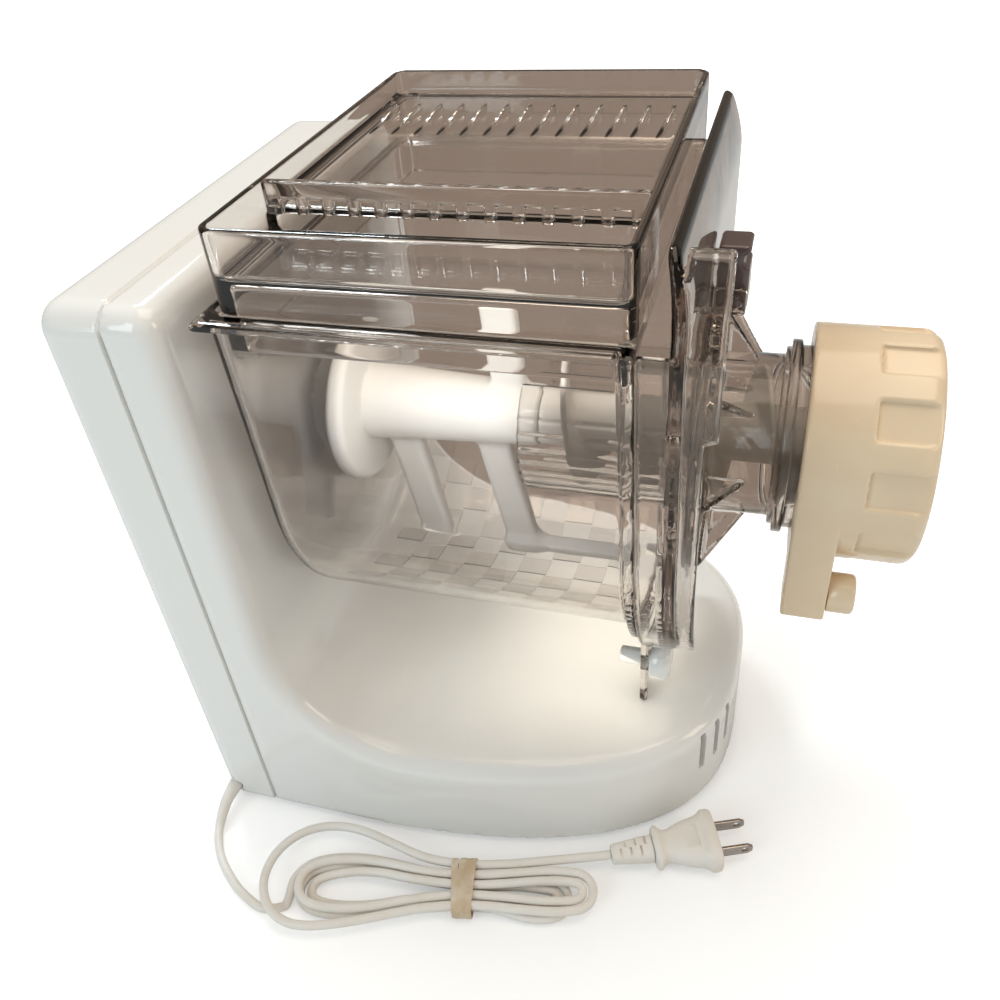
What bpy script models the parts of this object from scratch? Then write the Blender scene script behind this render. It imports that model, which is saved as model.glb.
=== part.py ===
"""Electric pasta maker: motor base, geared drive, clear mixing bowl and extrusion head.

+X runs along the drive shaft toward the ring nut, +Y is the side away from the cord, +Z is up.
The origin is on the floor under the middle of the machine, measured without the cord.
"""

import math

import bmesh
import bpy
import numpy
from mathutils import Matrix, Vector

mm = 0.001
quarter_turn = math.pi / 2
full_turn = 2 * math.pi

# General values
gap = 0.3 * mm
overrun = 2 * mm
wall = 3 * mm
round_steps = 20
fine_steps = 28
corner_steps = 4

# Heights
floor_gap = 3 * mm
column_height = 267.6 * mm
deck_height = 50 * mm
axis_above_base = 176 * mm
base_z = floor_gap
column_top = base_z + column_height
deck_z = base_z + deck_height
axis_z = base_z + axis_above_base

# Lengths along X, from the rear to the nut
rear_depth = 29 * mm
front_depth = 20 * mm
bowl_standoff = 9 * mm
bowl_length = 141 * mm
bowl_flange = 4 * mm
panel_reach = 10 * mm
panel_plate = 4 * mm
panel_boss = 4 * mm
tube_length = 24 * mm
tube_flange = 6 * mm
nut_gap = 3.6 * mm
nut_length = 45.7 * mm
rocker_proud = 2.3 * mm
total_length = (
    rocker_proud + rear_depth + front_depth + bowl_standoff + bowl_length + bowl_flange
    + panel_reach + panel_plate + panel_boss + tube_length + tube_flange + nut_gap + nut_length
)
rear_x = rocker_proud - total_length / 2
parting_x = rear_x + rear_depth
column_x = parting_x + front_depth
bowl_x = column_x + bowl_standoff
bowl_end_x = bowl_x + bowl_length
flange_x = bowl_end_x + bowl_flange
plate_x = flange_x + panel_reach
plate_face_x = plate_x + panel_plate
tube_x = plate_face_x + panel_boss
tube_end_x = tube_x + tube_length
neck_x = tube_end_x + tube_flange
nut_x = neck_x + nut_gap
nut_end_x = nut_x + nut_length

# Housing
half_width = 102.5 * mm
column_corner = 12 * mm
top_corner = 14 * mm
base_reach = 193 * mm
plan_power = 2.7
deck_fillet = 60 * mm
deck_round = 7 * mm
boss_radius = 22 * mm
spigot_radius = 11.6 * mm
spigot_length = 2.4 * mm
vent_width = 4 * mm
vent_low = 21 * mm
vent_height = 24 * mm
vent_depth = 12 * mm
vent_turn_shares = (-0.26, -0.196, -0.135, 0.135, 0.196, 0.26)
screw_boss = 5 * mm
screw_radius = 1.6 * mm
screw_bore = 1.9 * mm
head_radius = 4.2 * mm
head_height = 1.8 * mm
rear_screw_inset_y = 14.5 * mm
rear_screw_y = half_width - rear_screw_inset_y
rear_screw_low = 20 * mm
rear_screw_high = 240 * mm
rear_screw_length = 35 * mm
plate_screw_length = 22 * mm

# Bottom plate and feet
plate_thick = 2.5 * mm
plate_inset = 4 * mm
foot_radius = 9 * mm
front_foot_inset = 29.5 * mm
rear_foot_inset = 16.5 * mm
front_foot_y = half_width - front_foot_inset
rear_foot_y = half_width - rear_foot_inset
front_foot_x = 38 * mm
rear_foot_x = 14 * mm
front_screw_x = 52 * mm
front_screw_y = 45 * mm
rear_screw_x = 15 * mm
rear_screw_inset = 24 * mm

# Gear train: teeth and module of each stage, from the motor up to the drive shaft
stage_teeth = ((10, 50), (12, 40), (14, 36))
stage_module = (1.25 * mm, 1.75 * mm, 2.5 * mm)
gear_width = (5 * mm, 6 * mm, 7 * mm)
gear_space = 1.5 * mm
gear_start = 4 * mm
addendum_share = 0.85
dedendum_share = 1.2
tip_share = 0.42
root_share = 1.2
axle_radius = 3 * mm
gear_plate_thick = 2.5 * mm
gear_plate_half = 66 * mm
gear_plate_margin = 16 * mm
post_radius = 4.5 * mm
shaft_radius = 6 * mm
bush_radius = 9.6 * mm
drive_length = 13 * mm
hub_radius = 11 * mm

# Motor
motor_length = 70 * mm
motor_half_width = 30 * mm
motor_low = 13 * mm
motor_space = 20 * mm
stator_bore = 12.3 * mm
rotor_gap = 0.8 * mm
rotor_shaft = 2.5 * mm
fan_radius = 12 * mm
fan_width = 7 * mm
fan_blades = 6
fan_blade_thick = 1.6 * mm
bracket_thick = 2.5 * mm

# Switch and interlock on the column
switch_y = -30 * mm
switch_half_width = 16 * mm
switch_half_height = 11 * mm
switch_drop = 13.5 * mm
bezel = 2.5 * mm
bezel_proud = 1.2 * mm
switch_depth = 12 * mm
rocker_ridge = 1.6 * mm
rocker_steps = (-2, -1, 0, 1, 2)
plunger_radius = 4 * mm
plunger_inset = 44.5 * mm
plunger_y = plunger_inset - half_width
plunger_drop = 34 * mm
plunger_tail = 7 * mm
plunger_collar = 6 * mm
contact_depth = 7 * mm
contact_half = 9 * mm

# Bowl
bowl_radius = 83.2 * mm
bowl_top_half = 88.5 * mm
bowl_rise = 86 * mm
rim_z = axis_z + bowl_rise
rim_lip = 6.5 * mm
rim_thick = 3 * mm
end_lip = 5 * mm
leg_y = 36 * mm
leg_half = 7 * mm
seal_radius = 17 * mm
seal_thick = 2 * mm
knob_radius = 9.2 * mm
knob_length = 9.5 * mm
knob_height = 23 * mm
knob_stem = 4 * mm
knob_tail = 10 * mm

# Lid
lid_height = 29.3 * mm
lid_wall = 2.5 * mm
lid_plate = 2 * mm
lid_recess = 9 * mm
tray_drop = 9 * mm
skirt_depth = 15 * mm
skirt_clear = 0.6 * mm
bar_y = -45 * mm
slot_pitch = 9.6 * mm
slot_width = 5.7 * mm
slot_height = 5.5 * mm
slot_drop = 12 * mm
slot_count = 13
fin_low_y = 28 * mm
fin_length = 28 * mm
fin_height = 4.5 * mm
fin_thick = 1.6 * mm

# Front panel and extrusion tube
panel_lap = 7.8 * mm
panel_radius = bowl_radius + panel_lap
panel_wall = 3 * mm
panel_side_lap = 6.5 * mm
panel_corner_inset = 9 * mm
panel_corner_cut = 5.5 * mm
panel_corner_drop = 3.5 * mm
panel_above_rim = 25.5 * mm
panel_wide_half = bowl_top_half + panel_side_lap
panel_corner_half = bowl_top_half - panel_corner_inset
panel_top_half = panel_corner_half - panel_corner_cut
panel_top_rise = bowl_rise + panel_above_rim
panel_corner_rise = panel_top_rise - panel_corner_drop
rim_forward = 12 * mm
rim_inner_y = panel_top_half
rim_low = 54 * mm
tube_radius = 32.4 * mm
tube_wall = 3 * mm
boss_reach = 24.6 * mm
step_reach = 3.1 * mm
neck_reach = 3.8 * mm
flange_reach = 6.1 * mm
panel_boss_radius = tube_radius + boss_reach
step_radius = tube_radius + step_reach
neck_radius = tube_radius + neck_reach
flange_radius = tube_radius + flange_reach
neck_length = 16.9 * mm
gusset_count = 8
gusset_height = 24 * mm
gusset_length = 15.5 * mm
gusset_thick = 2.5 * mm
sleeve_length = 67 * mm
sleeve_wall = 2.4 * mm
sleeve_foot_reach = 8.6 * mm
sleeve_foot_radius = tube_radius + sleeve_foot_reach
sleeve_foot_thick = 3 * mm
sleeve_window = 40 * mm
sleeve_window_half = 17 * mm

# Latch above the tube
latch_half = 7.5 * mm
latch_clear = 0.5 * mm
latch_low = panel_boss_radius + latch_clear
latch_height = 24.5 * mm
latch_thick = 8.3 * mm
latch_notch = 2 * mm
notch_low = 16 * mm
notch_height = 6 * mm
latch_pin = 2 * mm
latch_ear = 3 * mm
latch_pivot_rise = 4.5 * mm

# Ring nut, lever and die
thread_clear = 0.6 * mm
nut_wall = 8.8 * mm
nut_bore = neck_radius + thread_clear
nut_radius = nut_bore + nut_wall
die_thick = 6 * mm
mouth_step = 8.8 * mm
mouth_flare = 8 * mm
nut_mouth = nut_bore - mouth_step
nut_mouth_out = nut_mouth + mouth_flare
nut_round = 6 * mm
grip_count = 11
grip_width = 14.4 * mm
grip_depth = 2.6 * mm
grip_start = 23.5 * mm
lever_thick = 16.6 * mm
lever_depth = 18 * mm
lever_drop = 55 * mm
peg_radius = 8 * mm
peg_length = 10.5 * mm
peg_inset = 9.1 * mm
peg_y = peg_inset - nut_radius
peg_drop = 47 * mm
peg_spigot = 4 * mm
peg_spigot_length = 8 * mm
die_hole = 2.6 * mm
die_hole_count = 10
die_ring = 21 * mm
tip_radius = 4 * mm

# Mixer and auger
hub_disc_radius = 36.5 * mm
hub_disc_thick = 8 * mm
mixer_shaft = 17 * mm
mixer_neck = 13 * mm
mixer_length = 86 * mm
mixer_clear = 1.2 * mm
arm_width = 15 * mm
arm_thick = 8 * mm
short_arm = 73 * mm
upper_arm = 55 * mm
long_arm = 79 * mm
arm_slant = 12 * mm
arm_clear = 6 * mm
scraper_reach = 43 * mm
scraper_depth = 9 * mm
auger_root = 12 * mm
auger_clear = 1.2 * mm
auger_pitch = 27 * mm
flight_thick = 3.6 * mm
auger_steps = 16

# Cord, hank, tie and plug
cord_diameter = 4 * mm
cord_lift = 1.3 * mm
hank_pitch = 4.7 * mm
hank_loops_a_layer = 2
hank_layers = 2
loop_run_step = 18 * mm
loop_turn_step = math.radians(28)
tube_run_step = 14 * mm
tube_turn_step = math.radians(14)
hank_half_length = 70 * mm
hank_half_width = 16.6 * mm
hank_centre = (-23.4 * mm, -129 * mm)
hank_angle = math.radians(12)
hank_side_shares = (
    (-1, 0), (-0.972, 0.437), (-0.896, 0.757), (-0.78, 0.93), (-0.62, 0.99), (-0.42, 0.92), (-0.14, 0.69),
    (0.14, 0.57), (0.36, 0.60), (0.57, 0.685), (0.72, 0.71), (0.836, 0.68), (0.918, 0.585), (0.978, 0.345),
    (1, 0))
hank_start_turn = -0.01
hank_end_turn = 4.34
hank_samples = 700
climb_start_turn = 2.0
climb_end_turn = 2.2
climb_swell_share = 0.2
loose_reach = 14 * mm
loose_span_share = 0.12
loose_turn_shift = 0.05
under_shift = 11 * mm
under_drop = 2 * mm
under_start_share = 0.25
under_span_share = 0.6
swell_width_share = 0.08
waist_place_share = 0.14
tie_width = 11 * mm
tie_far_extra = 2.4 * mm
hank_waist_share = 0.57
tie_thick = 0.8 * mm
tie_clear = 0.4 * mm
tie_side_clear = 1 * mm
gland_radius = 3.5 * mm
gland_depth = 8 * mm
exit_inset = 7 * mm
exit_height = 5 * mm
exit_run = 8 * mm
lead_route = (
    (-141 * mm, -123 * mm), (-133 * mm, -136 * mm), (-120.4 * mm, -146.6 * mm), (-110.5 * mm, -152 * mm),
    (-101.5 * mm, -155 * mm), (-94 * mm, -153.4 * mm))
plug_angle = math.radians(22.5)
plug_face = (91.5 * mm, -77.5 * mm, 8.3 * mm)
plug_length = 29 * mm
relief_length = 19 * mm
relief_ribs = 4
relief_rib_grow = 0.8 * mm
relief_tail_half = (4.4 * mm, 3.2 * mm)
relief_head_half = (6 * mm, 4.6 * mm)
plug_corner_share = 0.6
plug_half_width = 13.9 * mm
plug_half_height = 8 * mm
plug_station_shares = (
    (-1, 0.475, 0.625), (-0.966, 0.691, 0.8), (-0.883, 0.705, 0.8), (-0.814, 0.532, 0.65), (-0.741, 0.547, 0.65),
    (-0.517, 0.676, 0.75), (-0.276, 0.849, 0.85), (-0.172, 0.993, 1), (-0.041, 1, 1), (0, 0.935, 0.9))
blade_length = 15 * mm
blade_width = 6.3 * mm
blade_thick = 1.5 * mm
blade_spacing = 12.7 * mm

for old in list(bpy.data.objects):
    bpy.data.objects.remove(old, do_unlink=True)


def material(name, colour, roughness, metallic=0.0, alpha=1.0):
    """A Principled material in one colour."""
    made = bpy.data.materials.new(name)
    made.use_nodes = True
    shader = made.node_tree.nodes["Principled BSDF"]
    shader.inputs["Base Color"].default_value = (*colour, 1.0)
    shader.inputs["Roughness"].default_value = roughness
    shader.inputs["Metallic"].default_value = metallic
    shader.inputs["Alpha"].default_value = alpha
    return made


white = material("white_plastic", (0.82, 0.82, 0.78), 0.28)
cream = material("cream_plastic", (0.78, 0.66, 0.50), 0.35)
smoke = material("smoky_clear_plastic", (0.42, 0.38, 0.36), 0.08, alpha=0.35)
paddle = material("paddle_plastic", (0.85, 0.82, 0.76), 0.4)
dark = material("dark_smoky_plastic", (0.12, 0.07, 0.09), 0.2, alpha=0.8)
rubber = material("rubber", (0.08, 0.08, 0.08), 0.8)
steel = material("steel", (0.62, 0.62, 0.64), 0.3, 1.0)
nickel = material("nickel", (0.55, 0.53, 0.50), 0.25, 1.0)
nylon = material("gear_nylon", (0.80, 0.79, 0.74), 0.45)
cord_skin = material("cord_skin", (0.80, 0.68, 0.55), 0.45)
tie_paper = material("tie_paper", (0.68, 0.50, 0.30), 0.6)


def add_object(name, vertices, faces):
    """An object from points and faces, with its faces turned outward."""
    mesh = bpy.data.meshes.new(name)
    mesh.from_pydata([tuple(point) for point in vertices], [], faces)
    work = bmesh.new()
    work.from_mesh(mesh)
    bmesh.ops.recalc_face_normals(work, faces=work.faces)
    work.to_mesh(mesh)
    work.free()
    made = bpy.data.objects.new(name, mesh)
    bpy.context.scene.collection.objects.link(made)
    return made


def place(axis, along, first, second):
    """A point from its place along the axis and its two places across it."""
    if axis == "X":
        return (along, first, second)
    if axis == "Y":
        return (first, along, second)
    return (first, second, along)


def stack(name, axis, outlines, heights):
    """A body through outlines of equally many points, one at each height along the axis."""
    count = len(outlines[0])
    vertices = []
    faces = [tuple(range(count))]
    for outline, along in zip(outlines, heights):
        vertices += [place(axis, along, *point) for point in outline]
    for level in range(len(outlines) - 1):
        for index in range(count):
            low = level * count
            after = (index + 1) % count
            faces.append((low + index, low + after, low + count + after, low + count + index))
    faces.append(tuple(range(len(vertices) - count, len(vertices))))
    return add_object(name, vertices, faces)


def prism(name, axis, outline, low, high):
    """A straight prism: a closed outline carried along the axis from low to high."""
    return stack(name, axis, [outline, outline], [low, high])


def box(name, x_range, y_range, z_range):
    """A box between two limits on each axis."""
    (x0, x1), (y0, y1), (z0, z1) = x_range, y_range, z_range
    return prism(name, "Z", [(x0, y0), (x1, y0), (x1, y1), (x0, y1)], z0, z1)


def turned(name, axis, centre, profile, steps=round_steps, hollow=False):
    """A body of revolution from (along, radius) points; a hollow one closes on itself."""
    rings = [point for point in profile if point[1] > 0]
    vertices = []
    for along, radius in rings:
        for step in range(steps):
            angle = full_turn * step / steps
            first = centre[0] + radius * math.cos(angle)
            second = centre[1] + radius * math.sin(angle)
            vertices.append(place(axis, along, first, second))
    count = len(rings)
    faces = []
    for one in range(count if hollow else count - 1):
        low = one * steps
        high = (one + 1) % count * steps
        for step in range(steps):
            after = (step + 1) % steps
            faces.append((low + step, low + after, high + after, high + step))
    if not hollow:
        faces.append(tuple(range(steps)))
        faces.append(tuple(range((count - 1) * steps, count * steps)))
    return add_object(name, vertices, faces)


def rod(name, axis, centre, radius, low, high, steps=round_steps):
    """A plain round rod."""
    return turned(name, axis, centre, [(low, 0), (low, radius), (high, radius), (high, 0)], steps)


def ring(name, axis, centre, inner, outer, low, high, steps=round_steps):
    """A plain round ring."""
    profile = [(low, inner), (low, outer), (high, outer), (high, inner)]
    return turned(name, axis, centre, profile, steps, hollow=True)


def combine(target, tools, operation):
    """Union, difference or intersection of the target with each tool, which is used up."""
    for tool in tools:
        change = target.modifiers.new("shape", "BOOLEAN")
        change.operation = operation
        change.object = tool
        graph = bpy.context.evaluated_depsgraph_get()
        graph.update()
        mesh = bpy.data.meshes.new_from_object(target.evaluated_get(graph))
        target.modifiers.clear()
        target.data = mesh
        bpy.data.objects.remove(tool, do_unlink=True)
    return target


def finish(made, name, skin, origin=(0, 0, 0), sharp=35):
    """Name a finished piece, give it its material and put its origin where it belongs."""
    made.name = name
    made.data.name = name
    made.data.materials.clear()
    made.data.materials.append(skin)
    made.data.shade_smooth()
    made.data.set_sharp_from_angle(angle=math.radians(sharp))
    made.data.transform(Matrix.Translation(-Vector(origin)))
    made.location = origin
    return made


def rounded_box(x0, x1, y0, y1, radii):
    """Outline of a rectangle, with one corner radius each, from the low corner round."""
    corners = ((x0, y0, 2), (x1, y0, 3), (x1, y1, 0), (x0, y1, 1))
    points = []
    for (x, y, quadrant), radius in zip(corners, radii):
        if radius == 0:
            points.append((x, y))
            continue
        centre_x = x + radius if quadrant in (1, 2) else x - radius
        centre_y = y + radius if quadrant in (2, 3) else y - radius
        for step in range(corner_steps + 1):
            angle = (quadrant + step / corner_steps) * quarter_turn
            points.append((centre_x + radius * math.cos(angle), centre_y + radius * math.sin(angle)))
    return points


def plan_point(turn, inset):
    """A point of the base's rounded end; turn runs from -1 on the near side to 1 on the far."""
    angle = turn * quarter_turn
    along = abs(math.cos(angle)) ** (2 / plan_power) * (base_reach - inset)
    across = abs(math.sin(angle)) ** (2 / plan_power) * (half_width - inset)
    return (column_x + along, math.copysign(across, turn))


def plan_outline(start_x, inset):
    """The base's outline from above, with a rounded end toward the nut."""
    width = half_width - inset
    steps = fine_steps
    points = [(start_x, -width)]
    points += [plan_point(2 * step / steps - 1, inset) for step in range(steps + 1)]
    points.append((start_x, width))
    return points


def housing_body(inset, start_x, low):
    """Column front, deck and the fillet between them, pulled in by an inset."""
    deck = deck_z - inset
    top = column_top - inset
    width = half_width - inset
    face = column_x - inset
    edge = deck_round - inset
    insets = [inset]
    heights = [low]
    for step in range(corner_steps):
        angle = quarter_turn * step / (corner_steps - 1)
        insets.append(inset + edge * (1 - math.cos(angle)))
        heights.append(deck - edge * (1 - math.sin(angle)))
    base = stack("base", "Z", [plan_outline(start_x, each) for each in insets], heights)
    corner = column_corner - inset
    column = prism(
        "column", "Z", rounded_box(start_x, face, -width, width, (0, corner, corner, 0)), low, top)
    crest = top_corner - inset
    front = prism("front", "X", rounded_box(-width, width, low, top, (0, 0, crest, crest)),
                  start_x - overrun, face + overrun)
    combine(column, [front], "INTERSECT")
    radius = deck_fillet + inset
    centre_x = face + radius
    centre_z = deck + radius
    arc = [(face - overrun, deck - overrun)]
    steps = 2 * corner_steps
    for step in range(steps + 1):
        angle = math.pi + quarter_turn * step / steps
        arc.append((centre_x + radius * math.cos(angle), centre_z + radius * math.sin(angle)))
    arc.insert(1, (face - overrun, centre_z))
    arc.append((centre_x, deck - overrun))
    fillet = prism("fillet", "Y", arc, -width, width)
    side = half_width - deck_round - inset
    trim = box("trim", (face - 2 * overrun, centre_x + overrun), (-side, side), (low, centre_z + overrun))
    combine(fillet, [trim], "INTERSECT")
    return combine(base, [column, fillet], "UNION")


axle_z = []
running_z = axis_z
for (driver, driven), module in reversed(list(zip(stage_teeth, stage_module))):
    running_z -= module * (driver + driven) / 2
    axle_z.insert(0, running_z)
motor_z, first_z, second_z = axle_z
gear_front = column_x - wall - gear_start
plane_x = []
running_x = gear_front
for width in gear_width:
    plane_x.append((running_x - width, running_x))
    running_x -= width + gear_space
gear_plate_x = running_x - gear_plate_thick
bowl_plunger_z = column_top - plunger_drop
switch_z = column_top - switch_drop - switch_half_height
rear_screws = [(side * rear_screw_y, base_z + height)
               for side in (-1, 1) for height in (rear_screw_low, rear_screw_high)]
plate_screws = [(front_screw_x, side * front_screw_y) for side in (-1, 1)]
plate_screws += [(parting_x + rear_screw_x, side * (half_width - rear_screw_inset)) for side in (-1, 1)]
feet = [(front_foot_x, side * front_foot_y) for side in (-1, 1)]
feet += [(rear_x + rear_foot_x, side * rear_foot_y) for side in (-1, 1)]
exit_spot = (rear_x + exit_inset, base_z + exit_height)
plate_low = base_z
plate_top = plate_low + plate_thick


def make_base_housing():
    """Front half of the column and the motor base, one moulding open at the rear and below."""
    shell = housing_body(0, parting_x, base_z)
    cavity = housing_body(wall, parting_x - overrun, base_z - overrun)
    combine(shell, [cavity], "DIFFERENCE")
    centre = (0, axis_z)
    boss = turned("boss", "X", centre, [
        (column_x - wall / 2, 0), (column_x - wall / 2, boss_radius),
        (bowl_x - gap, boss_radius), (bowl_x - gap, spigot_radius),
        (bowl_x + spigot_length, spigot_radius), (bowl_x + spigot_length, 0)])
    bosses = [boss]
    for y, z in rear_screws:
        bosses.append(rod("boss", "X", (y, z), screw_boss, parting_x + gap, column_x - wall / 2, 12))
        rib_y = sorted((y, math.copysign(half_width - wall / 2, y)))
        bosses.append(box("rib", (parting_x + gap, column_x - wall / 2), rib_y, (z - wall / 2, z + wall / 2)))
    for x, y in plate_screws:
        bosses.append(rod("boss", "Z", (x, y), screw_boss, plate_top + gap, deck_z - wall / 2, 12))
        rib_y = sorted((y, math.copysign(half_width - wall / 2, y)))
        if x < column_x:
            bosses.append(box("rib", (x - wall / 2, x + wall / 2), rib_y, (plate_top + gap, deck_z - wall)))
    combine(shell, bosses, "UNION")
    cuts = [rod("bore", "X", centre, bush_radius + gap, column_x - wall - overrun, bowl_x + wall)]
    cuts.append(rod("bore", "X", (plunger_y, bowl_plunger_z), plunger_radius + gap,
                    column_x - wall - overrun, column_x + overrun, 16))
    for y, z in rear_screws:
        cuts.append(rod("bore", "X", (y, z), screw_bore, parting_x - overrun, column_x - wall, 10))
    for x, y in plate_screws:
        cuts.append(rod("bore", "Z", (x, y), screw_bore, base_z, deck_z - wall, 10))
    for turn in vent_turn_shares:
        x, y = plan_point(turn, 0)
        inner_x, inner_y = plan_point(turn, vent_depth)
        slot = box("vent", (-vent_depth, vent_depth), (-vent_width / 2, vent_width / 2),
                   (base_z + vent_low, base_z + vent_low + vent_height))
        slot.data.transform(Matrix.Rotation(math.atan2(y - inner_y, x - inner_x), 4, "Z"))
        slot.data.transform(Matrix.Translation((x, y, 0)))
        cuts.append(slot)
    combine(shell, cuts, "DIFFERENCE")
    finish(shell, "base_housing", white)


def make_rear_cover():
    """Rear half of the column: a shell open toward the front, with the cord's notch."""
    far_x = parting_x - gap

    def block(inset, low, high_x):
        width = half_width - inset
        corner = column_corner - inset
        top = column_top - inset
        crest = top_corner - inset
        plan = rounded_box(rear_x + inset, high_x, -width, width, (corner, 0, 0, corner))
        body = prism("body", "Z", plan, low, top)
        front = prism("front", "X", rounded_box(-width, width, low, top, (0, 0, crest, crest)),
                      rear_x - overrun, high_x + overrun)
        return combine(body, [front], "INTERSECT")

    shell = block(0, base_z, far_x)
    cuts = [block(wall, base_z + wall, far_x + overrun)]
    for y, z in rear_screws:
        cuts.append(rod("bore", "X", (y, z), screw_bore + gap, rear_x - overrun, rear_x + 2 * wall, 12))
        cuts.append(rod("sink", "X", (y, z), head_radius + gap, rear_x - overrun, rear_x + head_height, 16))
    cuts.append(box("switch_hole", (rear_x - overrun, rear_x + 2 * wall),
                    (switch_y - switch_half_width - gap, switch_y + switch_half_width + gap),
                    (switch_z - switch_half_height - gap, switch_z + switch_half_height + gap)))
    cuts.append(rod("cord_hole", "Y", exit_spot, gland_radius + gap, -half_width - overrun,
                    -half_width + gland_depth + gap, 16))
    combine(shell, cuts, "DIFFERENCE")
    finish(shell, "rear_cover", white)


def make_bottom():
    """Bottom plate, its four screws and four rubber feet."""
    inset = plate_inset
    plate = prism("plate", "Z", plan_outline(parting_x, inset), plate_low, plate_top)
    cuts = [rod("hole", "Z", spot, screw_bore, plate_low - overrun, plate_top + overrun, 12)
            for spot in plate_screws]
    combine(plate, cuts, "DIFFERENCE")
    finish(plate, "bottom_plate", white)
    for index, (x, y) in enumerate(plate_screws):
        head_low = plate_low - gap - head_height
        screw = turned("screw", "Z", (x, y), [
            (head_low, 0), (head_low, head_radius), (plate_low - gap, head_radius),
            (plate_low - gap, screw_radius), (plate_low + plate_screw_length, screw_radius),
            (plate_low + plate_screw_length, 0)], 12)
        finish(screw, f"plate_screw_{index + 1}", steel)
    for index, (x, y) in enumerate(feet):
        top = base_z - gap
        foot = turned("foot", "Z", (x, y), [
            (0, 0), (0, foot_radius - top / 2), (top / 2, foot_radius), (top, foot_radius), (top, 0)], 16)
        finish(foot, f"foot_{index + 1}", rubber)


def make_rear_screws():
    """Four screws that hold the rear cover to the front moulding."""
    for index, (y, z) in enumerate(rear_screws):
        seat = rear_x + head_height - gap
        end = rear_x + rear_screw_length
        screw = turned("screw", "X", (y, z), [
            (rear_x, 0), (rear_x, head_radius), (seat, head_radius),
            (seat, screw_radius), (end, screw_radius), (end, 0)], 12)
        finish(screw, f"rear_screw_{index + 1}", steel)


def gear_outline(teeth, module, phase, centre_z):
    """Outline of a spur gear about X, as (y, z) points; one tooth is centred on the phase."""
    pitch_radius = module * teeth / 2
    tip = pitch_radius + addendum_share * module
    root = pitch_radius - dedendum_share * module
    unit = math.pi / (2 * teeth)
    flank = ((-root_share, root), (-tip_share, tip), (tip_share, tip), (root_share, root))
    points = []
    for tooth in range(teeth):
        middle = phase + tooth * full_turn / teeth
        for share, radius in flank:
            angle = middle + share * unit
            points.append((radius * math.cos(angle), centre_z + radius * math.sin(angle)))
    return points


def meshed_gear(stage, which, centre_z):
    """One gear of a stage: the driver has a tooth straight up, the driven a gap straight down."""
    teeth = stage_teeth[stage][which]
    phase = quarter_turn if which == 0 else -quarter_turn + math.pi / teeth
    outline = gear_outline(teeth, stage_module[stage], phase, centre_z)
    return prism("gear", "X", outline, *plane_x[stage])


def bored(body, centre_z, radius, low, high):
    """Cut a round bore along X through a gear."""
    bore = rod("bore", "X", (0, centre_z), radius, low - overrun, high + overrun, 16)
    return combine(body, [bore], "DIFFERENCE")


def make_gears():
    """Two compound gears on pins, and the output gear on the drive shaft."""
    for name, stage, centre_z in (("gear_first", 0, first_z), ("gear_second", 1, second_z)):
        low = plane_x[stage + 1][0]
        high = plane_x[stage][1]
        wheel = meshed_gear(stage, 1, centre_z)
        pinion = meshed_gear(stage + 1, 0, centre_z)
        collar_radius = axle_radius + gap + wall
        collar = rod("collar", "X", (0, centre_z), collar_radius, low + overrun, high - overrun, 16)
        combine(wheel, [collar, pinion], "UNION")
        bored(wheel, centre_z, axle_radius + gap, low, high)
        finish(wheel, name, nylon, (0, 0, centre_z))
    low, high = plane_x[2]
    output = meshed_gear(2, 1, axis_z)
    hub_high = column_x - wall - gap
    hub = rod("hub", "X", (0, axis_z), hub_radius, high - overrun, hub_high, 16)
    combine(output, [hub], "UNION")
    bored(output, axis_z, shaft_radius + gap, low, hub_high)
    finish(output, "output_gear", nylon, (0, 0, axis_z))


def make_gear_plate():
    """Steel plate behind the gears, with posts to the front moulding, the pins and the shaft."""
    low_z = motor_z + gear_plate_margin
    high_z = axis_z + gear_plate_margin
    outline = rounded_box(-gear_plate_half, gear_plate_half, low_z, high_z, [gear_plate_margin / 2] * 4)
    plate = prism("plate", "X", outline, gear_plate_x, gear_plate_x + gear_plate_thick)
    posts = []
    for side in (-1, 1):
        for z in (low_z + post_radius * 2, high_z - post_radius * 2):
            spot = (side * (gear_plate_half - post_radius * 2), z)
            start = gear_plate_x + gear_plate_thick / 2
            posts.append(rod("post", "X", spot, post_radius, start, column_x - wall - gap, 12))
    combine(plate, posts, "UNION")
    holes = [(first_z, axle_radius + gap), (second_z, axle_radius + gap), (axis_z, shaft_radius + gap)]
    through = (gear_plate_x - overrun, gear_plate_x + gear_plate_thick + overrun)
    combine(plate, [rod("hole", "X", (0, z), radius, *through, 16) for z, radius in holes], "DIFFERENCE")
    finish(plate, "gear_plate", steel)
    pin_end = column_x - wall - gap
    for name, z in (("axle_first", first_z), ("axle_second", second_z)):
        finish(rod("pin", "X", (0, z), axle_radius, gear_plate_x - overrun, pin_end, 16), name, steel)
    shaft = rod("shaft", "X", (0, axis_z), shaft_radius, gear_plate_x - overrun,
                bowl_x + wall + drive_length, 16)
    finish(shaft, "drive_shaft", steel, (0, 0, axis_z))
    bush = ring("bush", "X", (0, axis_z), shaft_radius + gap, bush_radius,
                column_x - wall, bowl_x + spigot_length - gap, 16)
    finish(bush, "shaft_bush", nickel)


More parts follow.
